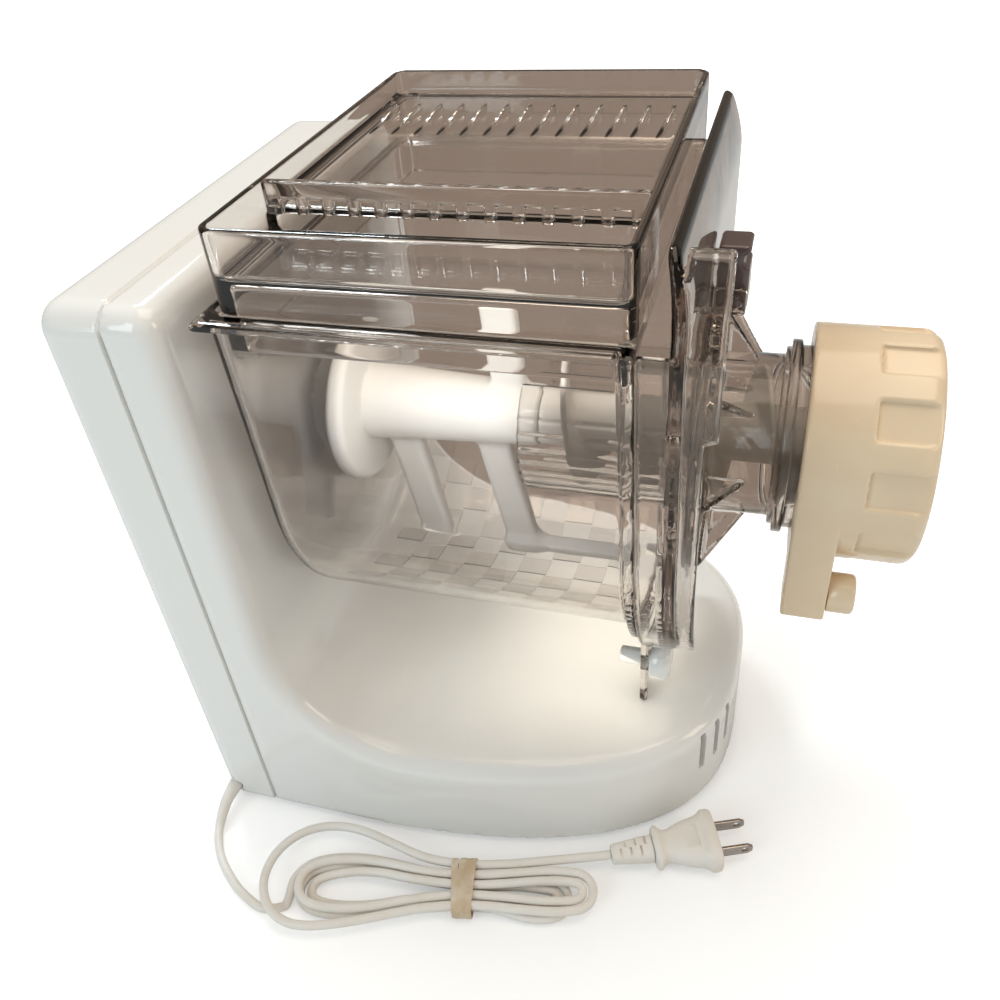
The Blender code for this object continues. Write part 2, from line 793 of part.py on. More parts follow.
def make_motor():
    """Stator block with its bore, the bearing bracket, a saddle, and the rotor with pinion and fan."""
    start = column_x + motor_space
    end = start + motor_length
    low = base_z + motor_low
    high = deck_z - wall - gap
    centre = (0, motor_z)
    corner = (high - low) / 4
    stator = prism("stator", "X", rounded_box(-motor_half_width, motor_half_width, low, high, [corner] * 4),
                   start, end)
    combine(stator, [rod("bore", "X", centre, stator_bore, start - overrun, end + overrun)], "DIFFERENCE")
    finish(stator, "motor_stator", steel)
    saddle = box("saddle", (start, end), (-motor_half_width, motor_half_width),
                 (plate_top + gap, low - gap))
    finish(saddle, "motor_saddle", nylon)
    for name, x in (("motor_bracket_rear", start - gap - bracket_thick), ("motor_bracket_front", end + gap)):
        bracket = box("bracket", (x, x + bracket_thick), (-motor_half_width, motor_half_width), (low, high))
        hole = rod("hole", "X", centre, rotor_shaft + gap, x - overrun, x + bracket_thick + overrun, 16)
        combine(bracket, [hole], "DIFFERENCE")
        finish(bracket, name, steel)
    armature = stator_bore - rotor_gap
    pinion_low, pinion_high = plane_x[0]
    inner = 2 * bracket_thick
    shaft_end = end + inner + fan_width
    rotor = turned("rotor", "X", centre, [
        (pinion_low, 0), (pinion_low, rotor_shaft), (start + inner, rotor_shaft), (start + inner, armature),
        (end - inner, armature), (end - inner, rotor_shaft), (shaft_end, rotor_shaft), (shaft_end, 0)])
    pinion = meshed_gear(0, 0, motor_z)
    combine(rotor, [pinion], "UNION")
    finish(rotor, "motor_rotor", steel, (0, 0, motor_z))
    fan_low = shaft_end - fan_width
    fan = rod("fan", "X", centre, rotor_shaft + wall, fan_low, shaft_end, 16)
    blades = []
    for index in range(fan_blades):
        blade = box("blade", (fan_low, shaft_end), (-fan_blade_thick / 2, fan_blade_thick / 2),
                    (rotor_shaft + wall / 2, fan_radius))
        blade.data.transform(Matrix.Rotation(full_turn * index / fan_blades, 4, "X"))
        blade.data.transform(Matrix.Translation((0, 0, motor_z)))
        blades.append(blade)
    combine(fan, blades, "UNION")
    combine(fan, [rod("bore", "X", centre, rotor_shaft + gap, fan_low - overrun, shaft_end + overrun, 16)],
            "DIFFERENCE")
    finish(fan, "motor_fan", nylon, (0, 0, motor_z))


def make_switch():
    """Three-position rocker in its bezel on the column's back."""
    low_y, high_y = switch_y - switch_half_width, switch_y + switch_half_width
    low_z, high_z = switch_z - switch_half_height, switch_z + switch_half_height
    back = rear_x + switch_depth
    frame = box("frame", (rear_x - gap, back), (low_y, high_y), (low_z, high_z))
    lip = box("lip", (rear_x - gap - bezel_proud, rear_x - gap), (low_y - bezel, high_y + bezel),
              (low_z - bezel, high_z + bezel))
    combine(frame, [lip], "UNION")
    well = box("well", (rear_x - wall, back - wall), (low_y + bezel, high_y - bezel),
               (low_z + bezel, high_z - bezel))
    combine(frame, [well], "DIFFERENCE")
    finish(frame, "switch_frame", dark)
    radius = switch_half_height - bezel - 2 * gap
    axle_x = rear_x + radius * math.cos(quarter_turn / 3) - rocker_proud
    outline = [(axle_x + wall / 2, switch_z)]
    for step in rocker_steps:
        angle = math.pi + step * quarter_turn / 3
        reach = radius - rocker_ridge if step == 0 else radius
        outline.append((axle_x + reach * math.cos(angle), switch_z + reach * math.sin(angle)))
    rocker = prism("rocker", "Y", outline, low_y + bezel + gap, high_y - bezel - gap)
    finish(rocker, "switch_rocker", white, (axle_x, switch_y, switch_z))


def make_interlock():
    """Plunger in the column's front that the bowl presses, and the contact block behind it."""
    centre = (plunger_y, bowl_plunger_z)
    inner = column_x - wall - gap
    plunger = turned("plunger", "X", centre, [
        (inner - plunger_tail, 0), (inner - plunger_tail, plunger_radius / 2),
        (inner - overrun, plunger_radius / 2), (inner - overrun, plunger_collar),
        (inner, plunger_collar), (inner, plunger_radius),
        (bowl_x - gap, plunger_radius), (bowl_x - gap, 0)], 16)
    finish(plunger, "interlock_plunger", paddle, (inner, *centre))
    high = inner - plunger_tail - plunger_radius - gap
    block = box("contact", (high - contact_depth, inner),
                (plunger_y - contact_half, plunger_y + contact_half),
                (bowl_plunger_z - contact_half, bowl_plunger_z + contact_half))
    well = rod("well", "X", centre, plunger_collar + gap, high, inner + overrun, 16)
    combine(block, [well], "DIFFERENCE")
    finish(block, "interlock_switch", dark)


def trough(radius_change, top_z):
    """The bowl's cross-section as (y, z) points, grown by a change in radius."""
    radius = bowl_radius + radius_change
    top_half = bowl_top_half + radius_change
    points = [(top_half, top_z)]
    steps = fine_steps // 2
    for step in range(steps + 1):
        angle = -math.pi * step / steps
        points.append((radius * math.cos(angle), axis_z + radius * math.sin(angle)))
    points.append((-top_half, top_z))
    return points


def make_bowl():
    """Clear mixing trough with its rim, end flange and two legs."""
    bowl = prism("bowl", "X", trough(0, rim_z), bowl_x, flange_x - gap)
    lip = box("lip", (bowl_x, flange_x - gap), (-bowl_top_half - rim_lip, bowl_top_half + rim_lip),
              (rim_z - rim_thick, rim_z))
    flange = prism("flange", "X", trough(end_lip, rim_z - rim_thick / 2), bowl_end_x, flange_x - gap)
    legs = []
    for side in (-1, 1):
        legs.append(box("leg", (bowl_end_x, flange_x - gap),
                        (side * leg_y - leg_half, side * leg_y + leg_half),
                        (deck_z + gap, axis_z - bowl_radius / 2)))
    combine(bowl, [lip, flange] + legs, "UNION")
    cavity = prism("cavity", "X", trough(-wall, rim_z + overrun), bowl_x + wall, flange_x + overrun)
    cuts = [cavity, rod("hole", "X", (0, axis_z), spigot_radius + gap, bowl_x - overrun, bowl_x + 2 * wall)]
    for side in (-1, 1):
        cuts.append(rod("hole", "X", (side * leg_y, deck_z + knob_height), knob_stem + gap,
                        bowl_end_x - overrun, flange_x + overrun, 16))
    combine(bowl, cuts, "DIFFERENCE")
    finish(bowl, "bowl", smoke, sharp=20)
    seal_low = bowl_x + wall + gap
    seal = ring("seal", "X", (0, axis_z), shaft_radius + gap, seal_radius, seal_low, seal_low + seal_thick)
    finish(seal, "bowl_seal", rubber)


def make_lock_knobs():
    """White knobs whose stems pass through the bowl's legs."""
    for name, side in (("lock_knob_near", -1), ("lock_knob_far", 1)):
        centre = (side * leg_y, deck_z + knob_height)
        tip = flange_x + knob_length
        knob = turned("knob", "X", centre, [
            (bowl_end_x - knob_tail, 0), (bowl_end_x - knob_tail, knob_stem), (flange_x, knob_stem),
            (flange_x, knob_radius), (tip - knob_radius / 3, knob_radius),
            (tip, knob_radius * 2 / 3), (tip, 0)], 16)
        finish(knob, name, white, (flange_x, *centre))


def make_lid():
    """Clear lid: a rimmed plate with a sunk near tray, a slotted bar and a row of fins."""
    low = rim_z + gap
    top = low + lid_height
    x0 = bowl_x + wall
    x1 = bowl_end_x
    half = bowl_top_half
    plate_up = top - lid_recess
    tray_up = plate_up - tray_drop
    body = prism("lid", "Z", rounded_box(x0, x1, -half, half, [wall] * 4), low, top)
    skirt_share = (bowl_rise + gap - skirt_depth) / bowl_rise
    skirt_half = bowl_radius + (half - bowl_radius) * skirt_share - wall - skirt_clear
    skirt = box("skirt", (x0 + gap, x1 - lid_wall), (-skirt_half, skirt_half),
                (low - skirt_depth, low + lid_wall))
    combine(body, [skirt], "UNION")
    inner_half = skirt_half - lid_wall
    inner_x = (x0 + 2 * lid_wall + gap, x1 - 2 * lid_wall)
    outer_x = (x0 + lid_wall, x1 - lid_wall)
    bar = (bar_y - lid_wall / 2, bar_y + lid_wall / 2)
    cuts = [
        box("upper", outer_x, (bar[1], half - lid_wall), (plate_up, top + overrun)),
        box("tray", outer_x, (-half + lid_wall, bar[0]), (tray_up, top + overrun)),
        box("under_main", inner_x, (bar[0], inner_half), (low - skirt_depth - overrun, plate_up - lid_plate)),
        box("under_tray", inner_x, (-inner_half, bar[1]), (low - skirt_depth - overrun, tray_up - lid_plate)),
    ]
    start = (outer_x[0] + outer_x[1]) / 2 - slot_pitch * (slot_count - 1) / 2
    slot_low = top - slot_drop
    for index in range(slot_count):
        x = start + index * slot_pitch
        cuts.append(box("slot", (x - slot_width / 2, x + slot_width / 2),
                        (bar[0] - overrun / 2, bar[1] + overrun / 2), (slot_low, slot_low + slot_height)))
    combine(body, cuts, "DIFFERENCE")
    fins = []
    for index in range(slot_count):
        x = start + index * slot_pitch
        outline = [(fin_low_y, plate_up - lid_plate / 2), (fin_low_y + fin_length, plate_up - lid_plate / 2),
                   (fin_low_y + fin_length, plate_up + fin_height)]
        fins.append(prism("fin", "X", outline, x - fin_thick / 2, x + fin_thick / 2))
    combine(body, fins, "UNION")
    finish(body, "lid", smoke, sharp=20)


def panel_outline(change):
    """The front panel's outline as (y, z) points: round below, wide at the rim, flat on top."""
    radius = panel_radius + change
    upper = [(panel_top_half, panel_top_rise), (panel_corner_half, panel_corner_rise),
             (panel_wide_half, bowl_rise)]
    far = [(y + change, axis_z + z + change) for y, z in upper]
    near = [(-y, z) for y, z in reversed(far)]
    steps = fine_steps // 2
    arc = [-math.pi * step / steps for step in range(steps + 1)]
    return far + [(radius * math.cos(turn), axis_z + radius * math.sin(turn)) for turn in arc] + near


def make_front_panel():
    """Clear front panel, its grip rim, and the extrusion tube with gussets, flange and neck."""
    centre = (0, axis_z)
    panel = prism("panel", "X", panel_outline(0), flange_x, plate_face_x + rim_forward)
    inner = panel_outline(-panel_wall)
    hollow_rear = prism("rear", "X", inner, flange_x - overrun, plate_x)
    rim = (plate_face_x, plate_face_x + rim_forward + overrun)
    hollow_front = prism("front", "X", inner, *rim)
    above = box("above", (flange_x - overrun, plate_x), (-half_width, half_width),
                (rim_z, column_top + half_width))
    beside = box("beside", rim, (-rim_inner_y, half_width), (base_z, column_top + half_width))
    below = box("below", rim, (-half_width, 0), (base_z, axis_z - rim_low))
    combine(panel, [hollow_rear, hollow_front, above, beside, below], "DIFFERENCE")
    disc = rod("disc", "X", centre, panel_boss_radius, plate_face_x - panel_plate / 2, tube_x, fine_steps)
    combine(panel, [disc], "UNION")
    tube = turned("tube", "X", centre, [
        (tube_x - panel_plate / 2, 0), (tube_x - panel_plate / 2, tube_radius), (tube_end_x, tube_radius),
        (tube_end_x, step_radius), (tube_end_x + tube_flange / 3, step_radius),
        (tube_end_x + tube_flange / 3, flange_radius), (neck_x, flange_radius),
        (neck_x, neck_radius), (neck_x + neck_length, neck_radius), (neck_x + neck_length, 0)], fine_steps)
    parts = [tube]
    for index in range(gusset_count):
        outline = [(tube_x - panel_plate / 2, tube_radius - tube_wall / 2),
                   (tube_x + gusset_length, tube_radius - tube_wall / 2),
                   (tube_x + gusset_length, tube_radius), (tube_x, tube_radius + gusset_height),
                   (tube_x - panel_plate / 2, tube_radius + gusset_height)]
        gusset = prism("gusset", "Y", outline, -gusset_thick / 2, gusset_thick / 2)
        gusset.data.transform(Matrix.Rotation(full_turn * index / gusset_count, 4, "X"))
        gusset.data.transform(Matrix.Translation((0, 0, axis_z)))
        parts.append(gusset)
    pivot_z = axis_z + latch_low + latch_pivot_rise
    ear_top = pivot_z + latch_pin + latch_ear
    for side in (-1, 1):
        y = side * (latch_half + gap + latch_ear / 2)
        parts.append(box("ear", (plate_face_x - panel_plate / 2, tube_x + latch_thick),
                         (y - latch_ear / 2, y + latch_ear / 2), (pivot_z - latch_pin - latch_ear, ear_top)))
    combine(panel, parts, "UNION")
    bore = rod("bore", "X", centre, tube_radius - tube_wall, plate_x - overrun,
               neck_x + neck_length + overrun, fine_steps)
    pin_hole = rod("pin_hole", "Y", (tube_x + latch_thick / 2, pivot_z), latch_pin + gap,
                   -latch_half - 2 * latch_ear, latch_half + 2 * latch_ear, 12)
    combine(panel, [bore, pin_hole], "DIFFERENCE")
    finish(panel, "front_panel", smoke, sharp=20)


def make_sleeve():
    """Clear sleeve round the start of the auger, with a window on top for the dough."""
    inner = tube_radius - tube_wall
    outer = inner + sleeve_wall
    end = plate_x - gap
    foot = end - sleeve_foot_thick
    sleeve = turned("sleeve", "X", (0, axis_z), [
        (end - sleeve_length, inner), (end - sleeve_length, outer), (foot, outer),
        (foot, sleeve_foot_radius), (end, sleeve_foot_radius), (end, inner)], fine_steps, hollow=True)
    window = box("window", (end - sleeve_length - overrun, end - sleeve_length + sleeve_window),
                 (-sleeve_window_half, sleeve_window_half), (axis_z, axis_z + sleeve_foot_radius))
    combine(sleeve, [window], "DIFFERENCE")
    finish(sleeve, "auger_sleeve", smoke, sharp=20)


def make_latch():
    """Dark latch block that swings out on a pin above the tube."""
    low = axis_z + latch_low
    x0 = plate_face_x + 2 * gap
    x1 = tube_x + latch_thick
    top = low + latch_height
    pivot_z = low + latch_pivot_rise
    notch = low + notch_low
    outline = [(x0, low + latch_pivot_rise / 2), (x0 + latch_pivot_rise / 2, low), (x1, low),
               (x1, notch), (x1 - latch_notch, notch + latch_notch),
               (x1 - latch_notch, notch + notch_height - latch_notch), (x1, notch + notch_height),
               (x1, top - latch_notch), (x1 - latch_notch, top), (x0, top)]
    block = prism("latch", "Y", outline, -latch_half, latch_half)
    pin = rod("pin", "Y", (tube_x + latch_thick / 2, pivot_z), latch_pin,
              -latch_half - latch_ear - gap, latch_half + latch_ear + gap, 12)
    combine(block, [pin], "UNION")
    finish(block, "front_latch", dark, (tube_x + latch_thick / 2, 0, pivot_z))


def make_nut():
    """Ring nut with grip recesses and a lever that hangs tangent to its near side."""
    centre = (0, axis_z)
    nut = turned("nut", "X", centre, [
        (nut_x, 0), (nut_x, nut_radius), (nut_end_x - nut_round, nut_radius),
        (nut_end_x - nut_round / 4, nut_radius - nut_round / 3), (nut_end_x, nut_radius - nut_round),
        (nut_end_x, 0)], 2 * round_steps)
    lever = box("lever", (nut_x, nut_x + lever_thick), (-nut_radius, -nut_radius + lever_depth),
                (axis_z - lever_drop, axis_z))
    combine(nut, [lever], "UNION")
    cuts = []
    for index in range(grip_count):
        recess = box("grip", (nut_x + grip_start, nut_end_x + overrun), (-grip_width / 2, grip_width / 2),
                     (nut_radius - grip_depth, nut_radius + nut_round))
        turn = full_turn * index / grip_count + quarter_turn / 2
        recess.data.transform(Matrix.Rotation(turn, 4, "X"))
        recess.data.transform(Matrix.Translation((0, 0, axis_z)))
        cuts.append(recess)
    seat = neck_x + neck_length + die_thick + 2 * gap
    cuts.append(turned("bore", "X", centre, [
        (nut_x - overrun, 0), (nut_x - overrun, nut_bore), (seat, nut_bore), (seat, nut_mouth),
        (nut_end_x, nut_mouth_out), (nut_end_x + overrun, nut_mouth_out), (nut_end_x + overrun, 0)], fine_steps))
    lever_face = nut_x + lever_thick
    cuts.append(rod("spigot_hole", "X", (peg_y, axis_z - peg_drop), peg_spigot + gap,
                    lever_face - peg_spigot_length - gap, lever_face + overrun, 16))
    combine(nut, cuts, "DIFFERENCE")
    finish(nut, "ring_nut", cream, (nut_x, *centre))
    tip = lever_face + peg_length
    peg = turned("peg", "X", (peg_y, axis_z - peg_drop), [
        (lever_face - peg_spigot_length, 0), (lever_face - peg_spigot_length, peg_spigot),
        (lever_face + gap, peg_spigot), (lever_face + gap, peg_radius), (tip - peg_radius / 5, peg_radius),
        (tip, peg_radius * 4 / 5), (tip, 0)], 16)
    finish(peg, "lever_peg", cream, (nut_x, *centre))


def make_die():
    """Pasta die between the tube's neck and the nut's inner shoulder."""
    low = neck_x + neck_length + gap
    centre = (0, axis_z)
    die = rod("die", "X", centre, neck_radius, low, low + die_thick, fine_steps)
    through = (low - overrun, low + die_thick + overrun)
    cuts = [rod("centre_hole", "X", centre, tip_radius + gap, *through, 16)]
    for index in range(die_hole_count):
        angle = full_turn * index / die_hole_count
        spot = (die_ring * math.cos(angle), axis_z + die_ring * math.sin(angle))
        cuts.append(rod("hole", "X", spot, die_hole, *through, 8))
    combine(die, cuts, "DIFFERENCE")
    finish(die, "die", paddle, (low, *centre))


def make_mixer():
    """White mixer: hub disc, tapering shaft, two plain arms and a bent scraper arm."""
    x0 = bowl_x + wall + seal_thick + 2 * gap
    disc = x0 + hub_disc_thick
    end = x0 + mixer_length
    edge = hub_disc_thick / 4
    mixer = turned("mixer", "X", (0, axis_z), [
        (x0, 0), (x0, hub_disc_radius - edge), (x0 + edge, hub_disc_radius), (disc - edge, hub_disc_radius),
        (disc, hub_disc_radius - edge), (disc, mixer_shaft), (end, mixer_neck), (end, 0)])
    swing = mixer_neck / 2
    long_x = end - arm_width - arm_clear
    short_x = disc + overrun
    low = axis_z - long_arm
    outlines = [
        [(short_x, axis_z - swing), (short_x + arm_width, axis_z - swing),
         (short_x + arm_width + arm_slant, axis_z - short_arm), (short_x + arm_slant, axis_z - short_arm)],
        [(long_x, axis_z + swing), (long_x + arm_width, axis_z + swing),
         (long_x + arm_width, axis_z + upper_arm), (long_x, axis_z + upper_arm)],
        [(long_x - arm_slant, axis_z - swing), (long_x - arm_slant + arm_width, axis_z - swing),
         (long_x + arm_width, low + scraper_depth), (scraper_reach, low + scraper_depth),
         (scraper_reach, low), (long_x, low)],
    ]
    arms = [prism("arm", "Y", outline, -arm_thick / 2, arm_thick / 2) for outline in outlines]
    combine(mixer, arms, "UNION")
    socket = rod("socket", "X", (0, axis_z), shaft_radius + gap, x0 - overrun,
                 bowl_x + wall + drive_length + mixer_clear, 16)
    combine(mixer, [socket], "DIFFERENCE")
    finish(mixer, "mixer", paddle, (0, 0, axis_z))
    return end


def make_auger(start):
    """White auger: a root with one helical flight, and a tip that runs in the die."""
    low = start + gap
    high = neck_x + neck_length - gap
    die_end = high + die_thick
    outer = tube_radius - tube_wall - auger_clear
    root = turned("auger", "X", (0, axis_z), [
        (low, 0), (low, auger_root), (high, auger_root), (high, tip_radius), (die_end, tip_radius), (die_end, 0)],
        auger_steps)
    flight_start = low + overrun
    flight_length = high - flight_thick - overrun - flight_start
    count = int(auger_steps * flight_length / auger_pitch)
    inner = auger_root - auger_clear
    profile = [(0, inner), (flight_thick, inner), (flight_thick * 3 / 4, outer), (flight_thick / 4, outer)]
    vertices = []
    faces = []
    for step in range(count + 1):
        angle = full_turn * (step + 0.5) / auger_steps
        x = flight_start + auger_pitch * step / auger_steps
        for along, radius in profile:
            vertices.append((x + along, radius * math.cos(angle), axis_z + radius * math.sin(angle)))
    for step in range(count):
        for side in range(4):
            after = (side + 1) % 4
            faces.append((4 * step + side, 4 * step + after, 4 * step + 4 + after, 4 * step + 4 + side))
    faces.append((0, 1, 2, 3))
    faces.append(tuple(4 * count + side for side in range(4)))
    combine(root, [add_object("flight", vertices, faces)], "UNION")
    finish(root, "auger", paddle, (0, 0, axis_z))


def smooth_line(points):
    """A smooth curve through the route's points, from its second one to its last but one."""
    route = [numpy.array(point, float) for point in points]
    dense = []
    for index in range(1, len(route) - 2):
        a, b, c, d = route[index - 1:index + 3]
        for part in numpy.linspace(0, 1, 24, endpoint=False):
            square = part * part
            cube = square * part
            dense.append((2 * b + (c - a) * part + (2 * a - 5 * b + 4 * c - d) * square
                          + (3 * b - a - 3 * c + d) * cube) / 2)
    dense.append(route[-2])
    return numpy.array(dense)


def tube_route(points):
    """A cord's points: its straight ends, and between them a smooth curve read off by its bends."""
    middle = bend_points(smooth_line(points), tube_run_step, tube_turn_step)
    return numpy.concatenate([[points[0]], middle, [points[-1]]])


def even_points(path, spacing):
    """The same path with its points an even distance apart."""
    steps = numpy.linalg.norm(numpy.diff(path, axis=0), axis=1)
    along = numpy.concatenate([[0], numpy.cumsum(steps)])
    count = max(2, round(float(along[-1] / spacing)) + 1)
    wanted = numpy.linspace(0, along[-1], count)
    return numpy.stack([numpy.interp(wanted, along, path[:, axis]) for axis in range(3)], axis=1)


def bend_points(path, run_step, turn_step):
    """Points of the path that lie closer together where it bends."""
    parts = numpy.diff(path, axis=0)
    lengths = numpy.linalg.norm(parts, axis=1)
    ways = parts / lengths[:, None]
    bends = numpy.arccos(numpy.clip((ways[1:] * ways[:-1]).sum(axis=1), -1, 1))
    bends = numpy.concatenate([[0], bends])
    along = numpy.concatenate([[0], numpy.cumsum(lengths / run_step + bends / turn_step)])
    wanted = numpy.linspace(0, along[-1], round(float(along[-1])) + 1)
    return numpy.stack([numpy.interp(wanted, along, path[:, axis]) for axis in range(3)], axis=1)


def tube_object(name, points, resolution, skin):
    """A round cord along the points, with flat closed ends."""
    curve = bpy.data.curves.new(name, "CURVE")
    curve.dimensions = "3D"
    curve.resolution_u = 1
    curve.render_resolution_u = 0
    curve.bevel_depth = cord_diameter / 2
    curve.bevel_resolution = resolution
    curve.use_fill_caps = True
    spline = curve.splines.new("POLY")
    spline.points.add(len(points) - 1)
    for target, point in zip(spline.points, points):
        target.co = (*point, 1)
    made = bpy.data.objects.new(name, curve)
    bpy.context.scene.collection.objects.link(made)
    curve.materials.append(skin)
    return made


def hank_outline():
    """The outermost loop as an even closed line, with its inward normals, in the hank's own plane."""
    far = [(s * hank_half_length, w * hank_half_width) for s, w in hank_side_shares]
    near = [(s, -w) for s, w in reversed(far[1:-1])]
    ring_points = [(s, w, 0) for s, w in far + near]
    turns = 3
    path = even_points(smooth_line(ring_points[-1:] + ring_points * turns + ring_points[:2]), cord_diameter / 8)
    steps = numpy.linalg.norm(numpy.diff(path, axis=0), axis=1)
    along = numpy.concatenate([[0], numpy.cumsum(steps)]) / steps.sum() * turns
    middle = (along >= 1) & (along <= 2)
    line = path[middle][:, :2]
    tangent = numpy.gradient(line, axis=0)
    tangent /= numpy.linalg.norm(tangent, axis=1)[:, None]
    inward = numpy.stack([tangent[:, 1], -tangent[:, 0]], axis=1)
    return along[middle] - 1, line, inward


def eased(share):
    """A smooth step from 0 to 1."""
    share = min(1.0, max(0.0, share))
    return share * share * (3 - 2 * share)


def hank_line(start_turn, end_turn, samples):
    """The hank's centreline: in by one pitch a loop below, up at the left end, and out above."""
    shares, line, inward = hank_outline()
    loops = hank_loops_a_layer * hank_layers
    points = []
    for turn in numpy.linspace(start_turn, end_turn, samples):
        place_share = turn % 1.0
        base = [numpy.interp(place_share, shares, line[:, axis]) for axis in range(2)]
        normal = [numpy.interp(place_share, shares, inward[:, axis]) for axis in range(2)]
        climb = eased((turn - climb_start_turn) / (climb_end_turn - climb_start_turn))
        inset = hank_pitch * min(turn, loops - turn)
        swell = math.exp(-((turn - climb_start_turn - loose_span_share / 2) / swell_width_share) ** 2)
        inset += climb_swell_share * hank_pitch * swell
        inset -= loose_reach * math.exp(-((turn - loops - loose_turn_shift) / loose_span_share) ** 2)
        s = base[0] + inset * normal[0]
        w = base[1] + inset * normal[1]
        under = (1 - climb) * eased((s / hank_half_length - under_start_share) / under_span_share)
        s -= under_shift * under
        w -= under_drop * under
        cosine, sine = math.cos(hank_angle), math.sin(hank_angle)
        level = cord_diameter / 2 + cord_lift + hank_pitch * climb
        points.append((hank_centre[0] + s * cosine - w * sine, hank_centre[1] + s * sine + w * cosine, level))
    return numpy.array(points)


def least_gap(points, diameter):
    """Least clear distance between stretches of the tube that are far apart along it."""
    path = even_points(points, diameter / 3)
    skip = 6
    best = 1.0
    for index in range(len(path) - skip):
        apart = numpy.linalg.norm(path[index + skip:] - path[index], axis=1)
        best = min(best, float(apart.min()))
    return best - diameter


def make_cord():
    """Lead from the gland, the tied hank, and the tail to the plug's strain relief."""
    dense = hank_line(hank_start_turn, hank_end_turn, hank_samples)
    hank = bend_points(dense, loop_run_step, loop_turn_step)
    print("hank least gap in mm:", round(least_gap(hank, cord_diameter) / mm, 2))
    tube_object("cord_hank", hank, 1, cord_skin)

    level = cord_diameter / 2 + gap
    inward = Vector(hank[0] - hank[1]).normalized()
    last = Vector(hank[0]) + inward * gap
    before = last + inward * cord_diameter
    exit_y = -half_width
    lead_points = [(exit_spot[0], exit_y, exit_spot[1]),
                   (exit_spot[0], exit_y - exit_run, exit_spot[1] - gap)]
    lead_points += [(x, y, level) for x, y in lead_route]
    lead_points += [tuple(before), tuple(last)]
    lead = tube_route(lead_points)
    lead[:, 2] = numpy.maximum(lead[:, 2], level)
    tube_object("cord_lead", lead, 3, cord_skin)

    forward = Vector(hank[-1] - hank[-2]).normalized()
    first = Vector(hank[-1]) + forward * gap
    after = first + forward * cord_diameter
    back = Vector((-math.cos(plug_angle), -math.sin(plug_angle), 0))
    relief_start = Vector(plug_face) + back * (plug_length + relief_length + 2 * gap)
    approach = relief_start + back * cord_diameter
    tail_points = [tuple(first), tuple(after), tuple(approach), tuple(relief_start)]
    tail = tube_route(tail_points)
    tube_object("cord_tail", tail, 3, cord_skin)
    for name, points in (("lead", lead), ("hank", hank), ("tail", tail)):
        length = numpy.linalg.norm(numpy.diff(points, axis=0), axis=1).sum()
        print(name, "length in mm:", round(float(length / mm), 1))


def make_tie():
    """Paper tie wound round the hank's waist."""
    half_across = hank_half_width * hank_waist_share + cord_diameter / 2 + tie_side_clear
    low = cord_lift - tie_clear - tie_thick
    high = cord_lift + cord_diameter + hank_pitch * (hank_layers - 1) + tie_clear + tie_thick
    outer_half = half_across + tie_thick
    far_half = half_across + tie_far_extra
    radii = [cord_diameter / 2] * 4
    band = prism("tie", "X", rounded_box(-outer_half, far_half + tie_thick, low, high, radii),
                 -tie_width / 2, tie_width / 2)
    hole = prism("hole", "X", rounded_box(-half_across, far_half, low + tie_thick, high - tie_thick, radii),
                 -tie_width / 2 - overrun, tie_width / 2 + overrun)
    combine(band, [hole], "DIFFERENCE")
    along = waist_place_share * hank_half_length
    band.data.transform(Matrix.Translation((along, 0, 0)))
    band.data.transform(Matrix.Rotation(hank_angle, 4, "Z"))
    band.data.transform(Matrix.Translation((*hank_centre, 0)))
    finish(band, "hank_tie", tie_paper)


def lofted(name, stations, points=16):
    """A body through rounded sections; each station is (along, half width, half height)."""
    vertices = []
    faces = []
    for along, half_w, half_h in stations:
        for index in range(points):
            angle = full_turn * index / points
            cosine, sine = math.cos(angle), math.sin(angle)
            vertices.append((along, half_w * math.copysign(abs(cosine) ** plug_corner_share, cosine),
                             half_h * math.copysign(abs(sine) ** plug_corner_share, sine)))
    for station in range(len(stations) - 1):
        for index in range(points):
            after = (index + 1) % points
            low = station * points
            faces.append((low + index, low + after, low + points + after, low + points + index))
    faces.append(tuple(range(points)))
    faces.append(tuple(range(len(vertices) - points, len(vertices))))
    return add_object(name, vertices, faces)


def to_plug(made):
    """Carry a piece drawn along X, with the plug's face at zero, to the plug's place."""
    made.data.transform(Matrix.Rotation(plug_angle, 4, "Z"))
    made.data.transform(Matrix.Translation(plug_face))
    return made


def make_plug():
    """Two-blade plug with its strain relief."""
    body = lofted("plug", [(along * plug_length, wide * plug_half_width, high * plug_half_height)
                           for along, wide, high in plug_station_shares])
    for side in (-1, 1):
        y = side * blade_spacing / 2
        socket = box("socket", (-2 * overrun, overrun), (y - blade_thick / 2 - gap, y + blade_thick / 2 + gap),
                     (-blade_width / 2 - gap, blade_width / 2 + gap))
        combine(body, [socket], "DIFFERENCE")
        bevel = blade_width / 5
        outline = [(gap - 2 * overrun, -blade_width / 2), (blade_length - bevel, -blade_width / 2),
                   (blade_length, -blade_width / 2 + bevel), (blade_length, blade_width / 2 - bevel),
                   (blade_length - bevel, blade_width / 2), (gap - 2 * overrun, blade_width / 2)]
        blade = prism("blade", "Y", outline, y - blade_thick / 2, y + blade_thick / 2)
        number = 1 if side < 0 else 2
        finish(to_plug(blade), f"plug_blade_{number}", nickel)
    finish(to_plug(body), "plug_body", cream)
    back = -plug_length - gap
    stations = []
    for rib in range(2 * relief_ribs + 1):
        share = rib / (2 * relief_ribs)
        grow = relief_rib_grow if rib % 2 == 0 else 0
        halves = [tail * (1 - share) + head * share + grow
                  for tail, head in zip(relief_tail_half, relief_head_half)]
        stations.append((back - relief_length * (1 - share), *halves))
    relief = lofted("relief", stations, 12)
    finish(to_plug(relief), "plug_relief", cream)


